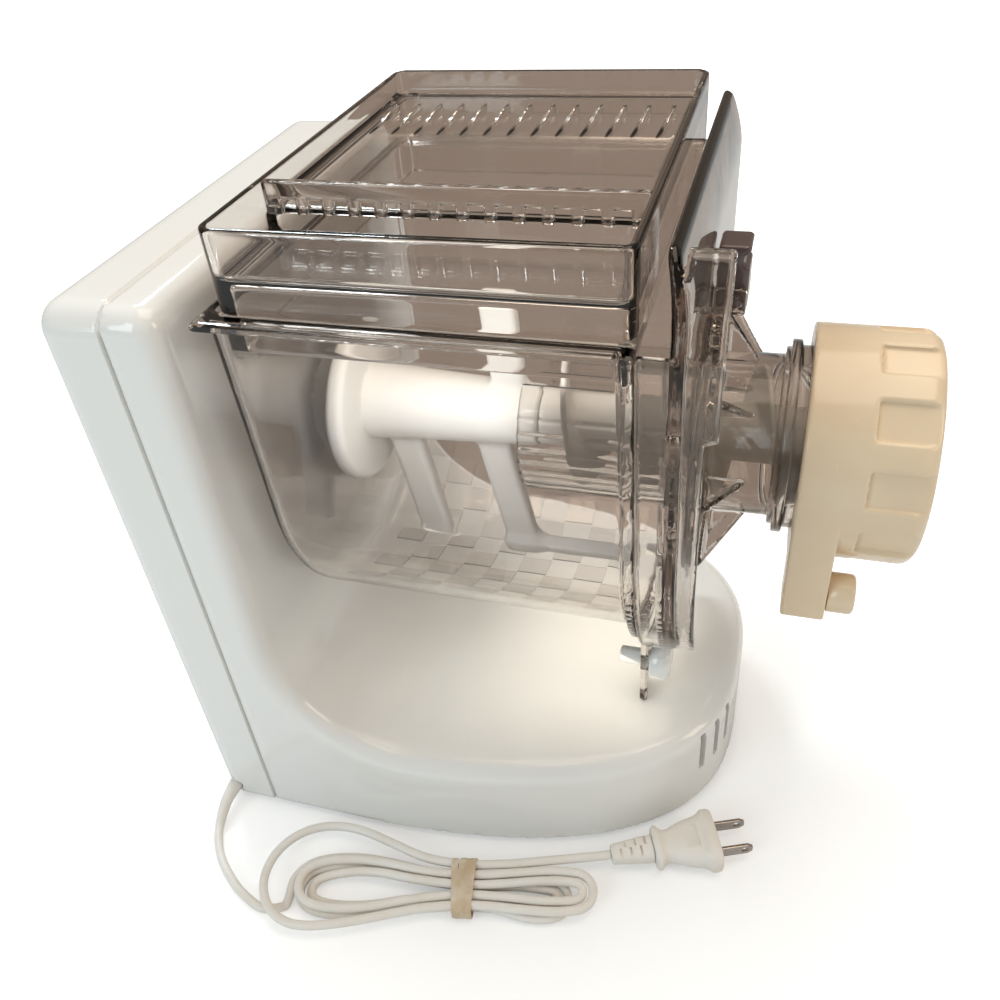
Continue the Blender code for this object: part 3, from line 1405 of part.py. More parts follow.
def make_gland():
    """Round grommet in the rear cover, where the cord comes out."""
    gland = rod("gland", "Y", exit_spot, gland_radius, -half_width + gap, -half_width + gland_depth, 16)
    finish(gland, "cord_gland", rubber)


make_base_housing()
make_rear_cover()
make_bottom()
make_rear_screws()
make_gears()
make_gear_plate()
make_motor()
make_switch()
make_interlock()
make_bowl()
make_lock_knobs()
make_lid()
make_front_panel()
make_sleeve()
make_latch()
make_nut()
make_die()
make_auger(make_mixer())
make_cord()
make_tie()
make_plug()
make_gland()
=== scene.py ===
"""Electric pasta maker: the dressed part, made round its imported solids, in metres."""

import math

import bmesh
import bpy
import numpy
from mathutils import Matrix, Vector


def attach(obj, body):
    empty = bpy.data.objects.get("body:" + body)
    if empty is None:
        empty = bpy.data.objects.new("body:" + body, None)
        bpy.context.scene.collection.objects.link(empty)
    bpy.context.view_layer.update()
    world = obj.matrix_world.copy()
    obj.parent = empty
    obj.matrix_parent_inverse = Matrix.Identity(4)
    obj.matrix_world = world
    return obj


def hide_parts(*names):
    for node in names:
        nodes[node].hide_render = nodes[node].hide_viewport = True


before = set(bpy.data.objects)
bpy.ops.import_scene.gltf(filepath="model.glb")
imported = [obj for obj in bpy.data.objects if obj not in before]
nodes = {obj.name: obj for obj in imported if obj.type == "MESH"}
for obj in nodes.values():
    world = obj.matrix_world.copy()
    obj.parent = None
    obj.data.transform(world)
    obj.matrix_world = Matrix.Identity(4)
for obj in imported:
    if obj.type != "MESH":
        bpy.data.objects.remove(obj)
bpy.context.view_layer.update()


# The camera stands in front of the near side, a little above the lid and turned down onto it.
# Its place and lens come from the photograph's own perspective.
def add_object(name, data):
    """A new object in the scene."""
    made = bpy.data.objects.new(name, data)
    bpy.context.scene.collection.objects.link(made)
    return made


camera_data = bpy.data.cameras.new("camera")
camera_data.sensor_width = 36
camera_data.lens = 34.02
camera_data.clip_start = 0.01
camera = add_object("camera", camera_data)
look = Vector((-0.2649, 0.7378, -0.6209)).normalized()
right = Vector((0.9573, 0.2787, -0.0772)).normalized()
turn = Matrix((right, (-look).cross(right).normalized(), -look)).transposed()
camera.matrix_world = Matrix.Translation((0.0935, -0.3267, 0.4026)) @ turn.to_4x4()
bpy.context.scene.camera = camera
bpy.context.scene.view_settings.view_transform = "Standard"


# A white studio: a pale floor that keeps the shadows, a white surround that clear plastic shows as
# a dim warm room, a wide warm lamp overhead, a cooler one at the left and a small one at the right.
def shader_of(name):
    """A new material and its Principled shader."""
    made = bpy.data.materials.new(name)
    made.use_nodes = True
    return made, made.node_tree.nodes["Principled BSDF"]


def feed(tree, made, values):
    """Give a node's inputs their values, or links from other nodes' outputs."""
    for socket, value in values.items():
        if isinstance(value, bpy.types.NodeSocket):
            tree.links.new(value, made.inputs[socket])
        else:
            made.inputs[socket].default_value = value


def add_node(tree, kind, values=None, **settings):
    """A new shader node with its settings and its inputs."""
    made = tree.nodes.new("ShaderNode" + kind)
    for name, value in settings.items():
        setattr(made, name, value)
    feed(tree, made, values or {})
    return made


def lamp(name, place, aim, size, power, colour):
    """A rectangular soft lamp turned toward a point."""
    data = bpy.data.lights.new(name, "AREA")
    data.shape = "RECTANGLE"
    data.size, data.size_y = size
    data.energy = power
    data.color = colour
    made = add_object(name, data)
    made.location = place
    made.rotation_euler = (Vector(aim) - Vector(place)).to_track_quat("-Z", "Y").to_euler()
    return made


floor_mesh = bpy.data.meshes.new("floor")
floor_mesh.from_pydata([(-6, -6, 0), (6, -6, 0), (6, 6, 0), (-6, 6, 0)], [], [(0, 1, 2, 3)])
floor = add_object("floor", floor_mesh)
floor_paint = bpy.data.materials.new("floor_paint")
floor_paint.use_nodes = True
tree = floor_paint.node_tree
tree.nodes.clear()
dull = add_node(tree, "BsdfDiffuse", {"Color": (0.82, 0.82, 0.81, 1)})
# The floor's white glow is weak near the machine and full further out: painted shade, a darker floor round the
# machine whatever the lamps do.
away = add_node(tree, "VectorMath", {0: add_node(tree, "TexCoord").outputs["Object"]}, operation="LENGTH")
fade = add_node(tree, "MapRange", {"Value": away.outputs["Value"], "From Min": 0.12, "From Max": 0.55,
                                   "To Min": 0.30, "To Max": 1.0})
rays = add_node(tree, "LightPath")
level = add_node(tree, "Math", {0: rays.outputs["Is Camera Ray"], 1: fade.outputs[0]}, operation="MULTIPLY")
glow = add_node(tree, "Emission", {"Color": (1, 1, 1, 1), "Strength": level.outputs[0]})
both = add_node(tree, "AddShader", {0: dull.outputs[0], 1: glow.outputs[0]})
# Seen through clear plastic the floor glows a dim warm brown instead of white: a painted dim room behind the
# plastic.
room = add_node(tree, "Emission", {"Color": (0.30, 0.235, 0.19, 1), "Strength": 1.0})
choice = add_node(tree, "MixShader", {"Fac": rays.outputs["Is Transmission Ray"], 1: both.outputs[0],
                                      2: room.outputs[0]})
add_node(tree, "OutputMaterial", {"Surface": choice.outputs[0]})
floor_mesh.materials.append(floor_paint)

world = bpy.data.worlds.new("surround")
bpy.context.scene.world = world
world.use_nodes = True
tree = world.node_tree
rays = add_node(tree, "LightPath")
tint = add_node(tree, "Mix", {"Factor": rays.outputs["Is Diffuse Ray"], "A": (0.30, 0.245, 0.20, 1),
                              "B": (0.43, 0.44, 0.45, 1)}, data_type="RGBA")
plain = add_node(tree, "Mix", {"Factor": rays.outputs["Is Camera Ray"], "A": tint.outputs["Result"],
                               "B": (1, 1, 1, 1)}, data_type="RGBA")
feed(tree, tree.nodes["Background"], {"Color": plain.outputs["Result"], "Strength": 1.0})

lamp("lamp_overhead", (0.2, 0.15, 1.2), (0, 0, 0.1), (0.9, 0.9), 5.6, (1.0, 0.86, 0.70))
lamp("lamp_left", (-0.7, -1.2, 0.8), (0, 0, 0.12), (0.6, 0.8), 5.2, (0.82, 0.96, 1.0))
lamp("lamp_right", (1.1, -0.1, 0.6), (0, 0, 0.12), (0.3, 0.5), 1.6, (1.0, 0.84, 0.62))

# A window across the room: six bright panes, mirrored in the deck and along the clear edges.
pane_centre = Vector((-0.62, 0.66, 1.0))
pane_along = Vector((0.86, 0.51, 0.0)).normalized()
pane_up = (Vector((0, 0, 0.1)) - pane_centre).normalized().cross(pane_along)
for row in (-0.5, 0.5):
    for column in (-1, 0, 1):
        place = pane_centre + pane_along * 0.115 * column + pane_up * 0.105 * row
        lamp("lamp_pane", place, place + Vector((0, 0, 0.1)) - pane_centre, (0.10, 0.09), 0.9,
             (0.88, 0.96, 1.0))

# Three hidden fills stand in for the light that clear plastic lets through to the paddle and deck.
for name, place, aim, size, colour in (
        ("fill_bowl", (-0.02, -0.03, 0.246), (-0.02, 0.0, 0.15), (0.12, 0.10), (1.0, 0.97, 0.92)),
        ("fill_near", (-0.01, -0.070, 0.20), (-0.01, 0.0, 0.165), (0.11, 0.05), (0.92, 0.97, 1.0)),
        ("fill_deck", (0.0, -0.01, 0.092), (-0.03, -0.01, 0.0), (0.11, 0.13), (1.0, 0.90, 0.76))):
    fill = lamp(name, place, aim, size, 0.05, colour)
    fill.visible_camera = False
    fill.visible_glossy = False
    fill.visible_transmission = False


# The mains cord: one soft vinyl lead that leaves the rear cover low on its near side, lies on the
# floor in a hank of four loops, and runs on to the plug. Its points repeat the solid's route.
def add_piece(name, points, faces):
    """A mesh piece from points and faces, its faces turned outward."""
    mesh = bpy.data.meshes.new(name)
    mesh.from_pydata([tuple(point) for point in points], [], [tuple(face) for face in faces])
    work = bmesh.new()
    work.from_mesh(mesh)
    bmesh.ops.recalc_face_normals(work, faces=work.faces)
    work.to_mesh(mesh)
    work.free()
    return add_object(name, mesh)


def final_mesh(piece):
    """The piece's mesh with its modifiers applied."""
    graph = bpy.context.evaluated_depsgraph_get()
    graph.update()
    return bpy.data.meshes.new_from_object(piece.evaluated_get(graph))


def settle(piece):
    """The piece as a plain mesh at the origin, with its modifiers and its place applied."""
    mesh = final_mesh(piece)
    mesh.transform(piece.matrix_world)
    name = piece.name
    skins = [slot.material for slot in piece.material_slots]
    bpy.data.objects.remove(piece, do_unlink=True)
    made = add_object(name, mesh)
    made.name = name
    mesh.name = name
    mesh.materials.clear()
    for skin in skins:
        mesh.materials.append(skin)
    return made


def dress(piece, skin, body, slot, *stands_for, angle=50):
    """Give a piece its material and body and hide the nodes it stands for; the slot argument is not used. Mesh
    edges past the angle are kept sharp.
    """
    if piece.type == "MESH":
        piece.data.shade_smooth()
        piece.data.set_sharp_from_angle(angle=math.radians(angle))
    piece.data.materials.clear()
    piece.data.materials.append(skin)
    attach(piece, body)
    if stands_for:
        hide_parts(*stands_for)
    return piece


def moulded_skin():
    """Shared finish of moulded parts: soft cloudy colour, faint grain and fine rubbed streaks."""
    group = bpy.data.node_groups.new("moulded_skin", "ShaderNodeTree")
    face = group.interface
    for name, kind, value in (("Colour", "NodeSocketColor", (0.8, 0.8, 0.8, 1)),
                              ("Aged Colour", "NodeSocketColor", (0.7, 0.7, 0.6, 1)),
                              ("Cloud Scale", "NodeSocketFloat", 14.0),
                              ("Aging", "NodeSocketFloat", 0.5), ("Roughness", "NodeSocketFloat", 0.3),
                              ("Grain Scale", "NodeSocketFloat", 900.0),
                              ("Grain", "NodeSocketFloat", 0.05), ("Rubbing", "NodeSocketFloat", 0.1)):
        socket = face.new_socket(name, in_out="INPUT", socket_type=kind)
        socket.default_value = value
    for name, kind in (("Colour", "NodeSocketColor"), ("Roughness", "NodeSocketFloat"),
                       ("Normal", "NodeSocketVector")):
        face.new_socket(name, in_out="OUTPUT", socket_type=kind)
    put = group.nodes.new("NodeGroupInput")
    give = group.nodes.new("NodeGroupOutput")
    where = add_node(group, "TexCoord").outputs["Object"]

    cloud = add_node(group, "TexNoise", {"Detail": 4, "Roughness": 0.55, "Vector": where,
                                         "Scale": put.outputs["Cloud Scale"]})
    spread = add_node(group, "MapRange", {"From Min": 0.35, "From Max": 0.7, "Value": cloud.outputs["Fac"]})
    share = add_node(group, "Math", {0: spread.outputs[0], 1: put.outputs["Aging"]}, operation="MULTIPLY")
    tint = add_node(group, "Mix", {"Factor": share.outputs[0], "A": put.outputs["Colour"],
                                   "B": put.outputs["Aged Colour"]}, data_type="RGBA")

    stretch = add_node(group, "Mapping", {"Scale": (1, 1, 0.12), "Rotation": (0.4, 0.9, 0.3),
                                          "Vector": where})
    rub = add_node(group, "TexNoise", {"Scale": 320, "Detail": 3, "Vector": stretch.outputs[0]})
    rubbed = add_node(group, "MapRange", {"From Min": 0.5, "From Max": 0.75, "Value": rub.outputs["Fac"]})
    weight = add_node(group, "Math", {0: rubbed.outputs[0], 1: put.outputs["Rubbing"],
                                      2: put.outputs["Roughness"]}, operation="MULTIPLY_ADD")

    grain = add_node(group, "TexNoise", {"Detail": 2, "Vector": where, "Scale": put.outputs["Grain Scale"]})
    bump = add_node(group, "Bump", {"Distance": 0.0004, "Strength": put.outputs["Grain"],
                                    "Height": grain.outputs["Fac"]})
    feed(group, give, {"Colour": tint.outputs["Result"], "Roughness": weight.outputs[0],
                       "Normal": bump.outputs[0]})
    return group


moulded_group = moulded_skin()


def add_skin(made, shader, colour, aged, cloud, aging, roughness, grain_scale, grain, rubbing):
    """Put the shared finish in a material, with its own values."""
    tree = made.node_tree
    skin = add_node(tree, "Group", {
        "Colour": (*colour, 1), "Aged Colour": (*aged, 1), "Cloud Scale": cloud, "Aging": aging,
        "Roughness": roughness, "Grain Scale": grain_scale, "Grain": grain, "Rubbing": rubbing,
    }, node_tree=moulded_group)
    feed(tree, shader, {"Base Color": skin.outputs["Colour"], "Roughness": skin.outputs["Roughness"],
                        "Normal": skin.outputs["Normal"]})


def moulded_material(name, colour, aged, roughness, aging=0.5, cloud=14, grain=0.05, grain_scale=900,
                     rubbing=0.1, coat=0.0):
    """A moulded plastic or rubber in one colour that ages toward another."""
    made, shader = shader_of(name)
    add_skin(made, shader, colour, aged, cloud, aging, roughness, grain_scale, grain, rubbing)
    feed(made.node_tree, shader, {"Coat Weight": coat, "Coat Roughness": 0.05, "IOR": 1.5})
    return made


cord_vinyl = moulded_material("cord_vinyl", (0.90, 0.87, 0.82), (0.84, 0.76, 0.66), 0.36, aging=0.8,
                              cloud=40, grain=0.08, grain_scale=1500)

# In millimetres; a point without a height keeps the height of the one before it.
cord_places = (
    (-142, -102.5, 8), (-142, -110.5, 7.7), (-142, -114.07, 6.2), (-141.81, -119.38, 3.55),
    (-141.29, -122.07, 2.54), (-140.51, -124.28, 2.3), (-138.88, -127.65), (-135.81, -132.46),
    (-132.18, -136.9), (-127.44, -141.27), (-120.09, -146.82), (-114.92, -149.93), (-107.15, -153.44),
    (-103.02, -154.77), (-100.74, -155.03), (-98.46, -154.79), (-94.98, -153.76), (-92.57, -152.79, 2.52),
    (-91.13, -151.92, 2.93), (-90.43, -151.25, 3.19), (-90.11, -150.74, 3.3), (-90.86, -146.81),
    (-90.92, -146.51), (-92.09, -140.4), (-91.07, -135.36), (-88.36, -131.12), (-83.87, -127.53),
    (-75.75, -124.11), (-64.45, -121.71), (-51.45, -120.84), (-36.04, -120.91), (-21.02, -119.75),
    (-7.7, -117.45), (6.87, -113.91), (19.22, -112.21), (26.4, -112.47), (29.54, -114.17), (31.5, -116.67),
    (32.52, -120.09), (32.15, -123.64), (30.58, -126.36), (27.86, -128.47), (21.6, -130.59),
    (13.01, -131.36), (2.1, -130.8), (-9.6, -132.28), (-23.15, -135.9), (-37.1, -140.85), (-51.07, -146.59),
    (-63.49, -150.05), (-74.04, -151.1), (-80.64, -150.1), (-84.28, -147.91), (-86.46, -144.93),
    (-87.39, -141.43), (-86.87, -137.55), (-84.99, -134.37), (-81.31, -131.48), (-73.36, -128.3),
    (-62.05, -126.15), (-48.9, -125.56), (-33.58, -125.49), (-18.28, -124.15), (-4.87, -121.6),
    (9.25, -118.22), (21.39, -116.78), (25.38, -117.08), (26.9, -118.13), (27.74, -119.8), (27.8, -121.66),
    (27.3, -122.93), (25.98, -124.17), (20.89, -125.93), (12.53, -126.76), (1.66, -126.17),
    (-9.92, -127.56), (-23.45, -131.08), (-37.6, -135.98), (-51.66, -141.81), (-63.81, -145.31),
    (-73.89, -146.35), (-79.07, -145.52), (-81.04, -144.16), (-81.97, -142.39), (-82.16, -140.58, 3.34),
    (-81.73, -138.82, 3.57), (-80.03, -136.74, 4.12), (-74.82, -133.81, 5.03), (-64.68, -130.58, 6.44),
    (-52.71, -128.86, 7.63), (-38.93, -128.42, 8), (-24.03, -127.09), (-9.92, -124.71), (4.29, -120.62),
    (18.75, -115.88), (30.99, -113.2), (35.61, -113.16), (37.13, -114.03), (38, -115.45), (38.27, -117.29),
    (37.84, -118.83), (36.56, -120.26), (32.24, -122.08), (20.64, -124.81), (5.52, -126.84),
    (-9.31, -129.37), (-22.64, -133.24), (-36.62, -138.53), (-50.55, -144.82), (-62.73, -148.79),
    (-73.39, -150.38), (-80.31, -149.72), (-84.03, -147.77), (-86.31, -144.97), (-87.44, -141.44),
    (-87.11, -137.58), (-85.37, -134.24), (-81.87, -131.13), (-74.35, -127.69), (-63.28, -125.06),
    (-50.33, -123.91), (-34.95, -123.46), (-19.82, -121.78), (-6.65, -119), (8.18, -114.34),
    (22.36, -110.06), (33.51, -108.3), (37.71, -108.95), (40.58, -110.84), (42.34, -113.64),
    (42.96, -117.06), (42.28, -120.43), (40.27, -123.28), (37.13, -125.24), (27.86, -128.15),
    (14.15, -130.53), (-1.74, -132.72), (-14.88, -135.7), (-29.04, -140.59), (-42.03, -146.53),
    (-56.41, -153.36), (-69.97, -158.63), (-80.19, -160.89), (-87.39, -160.25), (-93.8, -157.63),
    (-98.99, -153.21), (-102.9, -147.19), (-104.69, -140.47), (-104.54, -133.17), (-102.25, -126.44),
    (-98.07, -120.42), (-92.32, -115.72), (-85.14, -112.61), (-76.12, -111.07), (-65.41, -111.54),
    (-51.63, -114.12), (-38.01, -116.78), (-26.05, -117.06), (-13.34, -115.61), (0.14, -112.03),
    (0.43, -111.96), (4.3, -110.93), (17.11, -106.55, 8.1), (30.08, -102.08, 8.2), (42.9, -97.63, 8.3),
    (46.6, -96.1),
)
cord_route = []
for place in cord_places:
    height = place[2] if len(place) == 3 else cord_route[-1][2]
    cord_route.append((place[0], place[1], height))
cord_route = numpy.array(cord_route) / 1000


def smooth_route(points, parts=5):
    """A smooth curve through the points, with a few places between each two."""
    ends = numpy.concatenate([[2 * points[0] - points[1]], points, [2 * points[-1] - points[-2]]])
    places = []
    for before, first, second, after in zip(ends, ends[1:], ends[2:], ends[3:]):
        for share in numpy.arange(parts) / parts:
            places.append((2 * first + (second - before) * share
                           + (2 * before - 5 * first + 4 * second - after) * share ** 2
                           + (3 * first - before - 3 * second + after) * share ** 3) / 2)
    places.append(points[-1])
    return numpy.array(places)


def ring_faces(rows, sides, closed=False):
    """Quads between rings of points; closed joins the last ring to the first."""
    count = rows * sides
    return [(row * sides + side, row * sides + (side + 1) % sides,
             ((row + 1) * sides + (side + 1) % sides) % count, ((row + 1) * sides + side) % count)
            for row in range(rows if closed else rows - 1) for side in range(sides)]


def capped(name, rings):
    """A closed body through rings of points, one after the other."""
    sides = len(rings[0])
    places = [place for ring in rings for place in ring]
    faces = ring_faces(len(rings), sides)
    faces += [tuple(range(sides)), tuple(range(len(places) - sides, len(places)))]
    return add_piece(name, places, faces)


def tube_piece(name, places, radius, radii=None):
    """A round tube along the places, as a curve of one open spline with closed ends."""
    data = bpy.data.curves.new(name, "CURVE")
    data.dimensions = "3D"
    data.bevel_depth = radius
    data.bevel_resolution = 5
    data.use_fill_caps = True
    spline = data.splines.new("POLY")
    spline.points.add(len(places) - 1)
    for index, place in enumerate(places):
        spline.points[index].co = (*place, 1)
        spline.points[index].radius = 1.0 if radii is None else radii[index]
    spline.use_smooth = True
    return add_object(name, data)


# Consecutive points that lie too close are thinned, so that the smooth curve has no kink.
kept = [cord_route[0]]
for place in cord_route[1:]:
    if numpy.linalg.norm(place - kept[-1]) > 0.0009:
        kept.append(place)
cord_line = smooth_route(numpy.array(kept))
cord_line[:, 2] = numpy.maximum(cord_line[:, 2], 0.0021)
mains_cord = tube_piece("mains_cord", cord_line, 0.002)
dress(mains_cord, cord_vinyl, "housing", "cord_skin", "cord_lead", "cord_hank", "cord_tail")

sleeve_line = cord_line[:26]
reach = numpy.concatenate([[0], numpy.cumsum(numpy.linalg.norm(numpy.diff(sleeve_line, axis=0), axis=1))])
sleeve_reach = 0.021
sleeve_line = sleeve_line[reach < sleeve_reach]
reach = reach[reach < sleeve_reach]
sleeve_line = numpy.concatenate([[sleeve_line[0] + (0, 0.006, 0)], sleeve_line])
taper = numpy.concatenate([[1.0], 1.0 - 0.36 * (reach / reach[-1]) ** 0.8])
exit_sleeve = settle(tube_piece("exit_sleeve", sleeve_line, 0.0034, taper))
dress(exit_sleeve, cord_vinyl, "housing", "cord_skin", "cord_gland", angle=35)


# The tie: a strip of waxed paper wound four times round the hank's waist, each turn a little
# askew of the last, so that its edges show as steps.
def band_piece(name, half_across, low, high, width, skew):
    """One flat turn of the strip: a rounded ring with a fold at each side, not yet thickened."""
    sides = 40
    outline = []
    for step in range(sides):
        turn = 2 * math.pi * step / sides
        across = math.copysign(abs(math.cos(turn)) ** 0.55, math.cos(turn)) * half_across
        up = math.copysign(abs(math.sin(turn)) ** 0.62, math.sin(turn)) * (high - low) / 2
        wave = 0.00015 * math.sin(3 * turn + 9 * skew)
        outline.append((across, (low + high) / 2 + up + wave))
    points = []
    rows = 5
    for row in range(rows):
        along = (row / (rows - 1) - 0.5) * width
        swell = 1 + 0.012 * math.sin(math.pi * row / (rows - 1))
        for across, up in outline:
            lean = skew * across / half_across
            points.append((along + lean, across * swell, (up - (low + high) / 2) * swell + (low + high) / 2))
    return add_piece(name, points, ring_faces(rows, sides))


def joined(name, pieces):
    """Several pieces as one object."""
    work = bmesh.new()
    for piece in pieces:
        work.from_mesh(piece.data)
        bpy.data.objects.remove(piece, do_unlink=True)
    mesh = bpy.data.meshes.new(name)
    work.to_mesh(mesh)
    work.free()
    return add_object(name, mesh)


tie_material = moulded_material("tie_paper", (0.62, 0.47, 0.30), (0.80, 0.70, 0.56), 0.42, aging=1.0,
                                cloud=120, grain=0.5, grain_scale=700, rubbing=0.3)
hank_turn = math.radians(12)
bands = []
for index, (shift, skew, width) in enumerate(((-0.0036, -0.0012, 0.0030), (-0.0012, 0.0006, 0.0032),
                                             (0.0014, 0.0012, 0.0030), (0.0036, 0.0003, 0.0030))):
    grow = 0.00015 * (index % 2)
    band = band_piece("band", 0.0131 + grow, 0.0005, 0.0108 + grow, width, skew)
    thicken = band.modifiers.new("thickness", "SOLIDIFY")
    thicken.thickness = 0.0005
    thicken.offset = -1
    band = settle(band)
    band.data.transform(Matrix.Translation((shift, 0.0012, 0)))
    bands.append(band)
tie = joined("paper_tie", bands)
tie.data.transform(Matrix.Translation((0.0098, 0, 0)))
tie.data.transform(Matrix.Rotation(hank_turn, 4, "Z"))
tie.data.transform(Matrix.Translation((-0.0234, -0.129, 0)))
dress(tie, tie_material, "housing", "tie_paper", "hank_tie")


# The plug: one cream vinyl moulding with a finger flange, a waist and a wide face, a slotted
# strain relief moulded on behind it, and two folded flat blades.
mm = 0.001


def rounded_section(half_width, half_height, power, points=28):
    """Points round a soft-cornered section."""
    ring = []
    for step in range(points):
        turn = 2 * math.pi * step / points
        across = math.copysign(abs(math.cos(turn)) ** power, math.cos(turn)) * half_width
        up = math.copysign(abs(math.sin(turn)) ** power, math.sin(turn)) * half_height
        ring.append((across, up))
    return ring


def lofted(name, stations, points=28):
    """A closed body through soft-cornered sections along X: (along, half width, half height, power)."""
    return capped(name, [[(along, y, z) for y, z in rounded_section(half_width, half_height, power, points)]
                         for along, half_width, half_height, power in stations])


def in_metres(stations):
    """Stations given in millimetres, in metres."""
    return [(along * mm, half_width * mm, half_height * mm, power)
            for along, half_width, half_height, power in stations]


def block(name, low, high):
    """A box between two corners."""
    (x0, y0, z0), (x1, y1, z1) = low, high
    places = [(x, y, z) for x in (x0, x1) for y in (y0, y1) for z in (z0, z1)]
    faces = [(0, 1, 3, 2), (4, 6, 7, 5), (0, 4, 5, 1), (2, 3, 7, 6), (0, 2, 6, 4), (1, 5, 7, 3)]
    return add_piece(name, places, faces)


def shaped(target, tools):
    """Cut each tool from the piece."""
    for tool in tools:
        change = target.modifiers.new("shape", "BOOLEAN")
        change.operation = "DIFFERENCE"
        change.solver = "EXACT"
        change.object = tool
        mesh = final_mesh(target)
        target.modifiers.clear()
        target.data = mesh
        bpy.data.objects.remove(tool, do_unlink=True)
    return target


def soften(piece, width, segments=2, angle=35):
    """Round the edges that are sharper than the angle."""
    bevel = piece.modifiers.new("edges", "BEVEL")
    bevel.width = width
    bevel.segments = segments
    bevel.limit_method = "ANGLE"
    bevel.angle_limit = math.radians(angle)
    bevel.harden_normals = False
    return settle(piece)


plug_turn = Matrix.Translation((0.0915, -0.0775, 0.0083)) @ Matrix.Rotation(math.radians(22.5), 4, "Z")
plug_body = lofted("plug_moulding", in_metres((
    (-29, 5.4, 4.6, 0.6), (-28.6, 8.6, 5.8, 0.6), (-27.6, 9.7, 6.3, 0.6), (-26.6, 9.7, 6.3, 0.6),
    (-25.7, 8.9, 6.0, 0.6), (-24.6, 7.5, 5.3, 0.62), (-23, 7.0, 5.0, 0.65), (-21, 7.3, 5.1, 0.66),
    (-18.5, 8.5, 5.6, 0.68), (-15, 9.9, 6.1, 0.68), (-11, 10.9, 6.4, 0.66), (-8, 11.5, 6.7, 0.64),
    (-6, 12.6, 7.2, 0.62), (-5, 13.5, 7.8, 0.6), (-4.2, 13.9, 8.0, 0.6), (-1.6, 13.9, 8.0, 0.6),
    (-0.6, 13.6, 7.7, 0.6), (0, 12.9, 7.1, 0.6))))
panel_mark = block("mark", (-18 * mm, -5.4 * mm, 5.6 * mm), (-8.5 * mm, 5.4 * mm, 7.5 * mm))
shaped(plug_body, [panel_mark])
plug_body = soften(plug_body, 0.0003, 2, 40)
relief = lofted("plug_strain_relief", in_metres((
    (-48.2, 3.0, 2.8, 0.9), (-47.9, 3.9, 3.5, 0.8), (-47.2, 4.3, 3.8, 0.75), (-40, 5.0, 4.2, 0.72),
    (-33, 5.7, 4.6, 0.7), (-29.5, 6.0, 4.8, 0.7), (-29.3, 5.8, 4.6, 0.7))))
slots = []
for index, along in enumerate((-44.5, -42.2, -39.9, -37.6, -35.3, -33.0)):
    side = -1 if index % 2 == 0 else 1
    for level in (-1, 1):
        low = (along * mm, min(side * 0.2, side * 4.6) * mm, min(level * 2.9, level * 6) * mm)
        high = ((along + 1.1) * mm, max(side * 0.2, side * 4.6) * mm, max(level * 2.9, level * 6) * mm)
        slots.append(block("slot", low, high))
shaped(relief, slots)
relief = soften(relief, 0.00018, 2, 40)
for piece, node in ((plug_body, "plug_body"), (relief, "plug_relief")):
    piece.data.transform(plug_turn)
    dress(piece, cord_vinyl, "housing", "cord_skin", node, angle=45)

nickel, shader = shader_of("plug_nickel")
feed(nickel.node_tree, shader, {"Base Color": (0.46, 0.42, 0.40, 1), "Metallic": 1.0, "Roughness": 0.22})
for index, side in enumerate((-1, 1)):
    y = side * 6.35 * mm
    outline = [(-3.5, -3.1), (12.6, -3.1), (14.9, -1.6), (14.9, 1.6), (12.6, 3.1), (-3.5, 3.1)]
    blade = capped(f"blade_{index + 1}", [[(x * mm, y + half * 0.7 * mm, z * mm) for x, z in outline]
                                          for half in (-1, 1)])
    hole = lofted("hole", [(-0.002, 0.0015, 0.0015, 1), (0.002, 0.0015, 0.0015, 1)], 20)
    hole.data.transform(Matrix.Translation((11.3 * mm, y, 0)) @ Matrix.Rotation(math.pi / 2, 4, "Z"))
    shaped(blade, [hole])
    blade = soften(blade, 0.0002, 2, 40)
    blade.data.transform(plug_turn)
    dress(blade, nickel, "housing", "nickel", f"plug_blade_{index + 1}", angle=30)


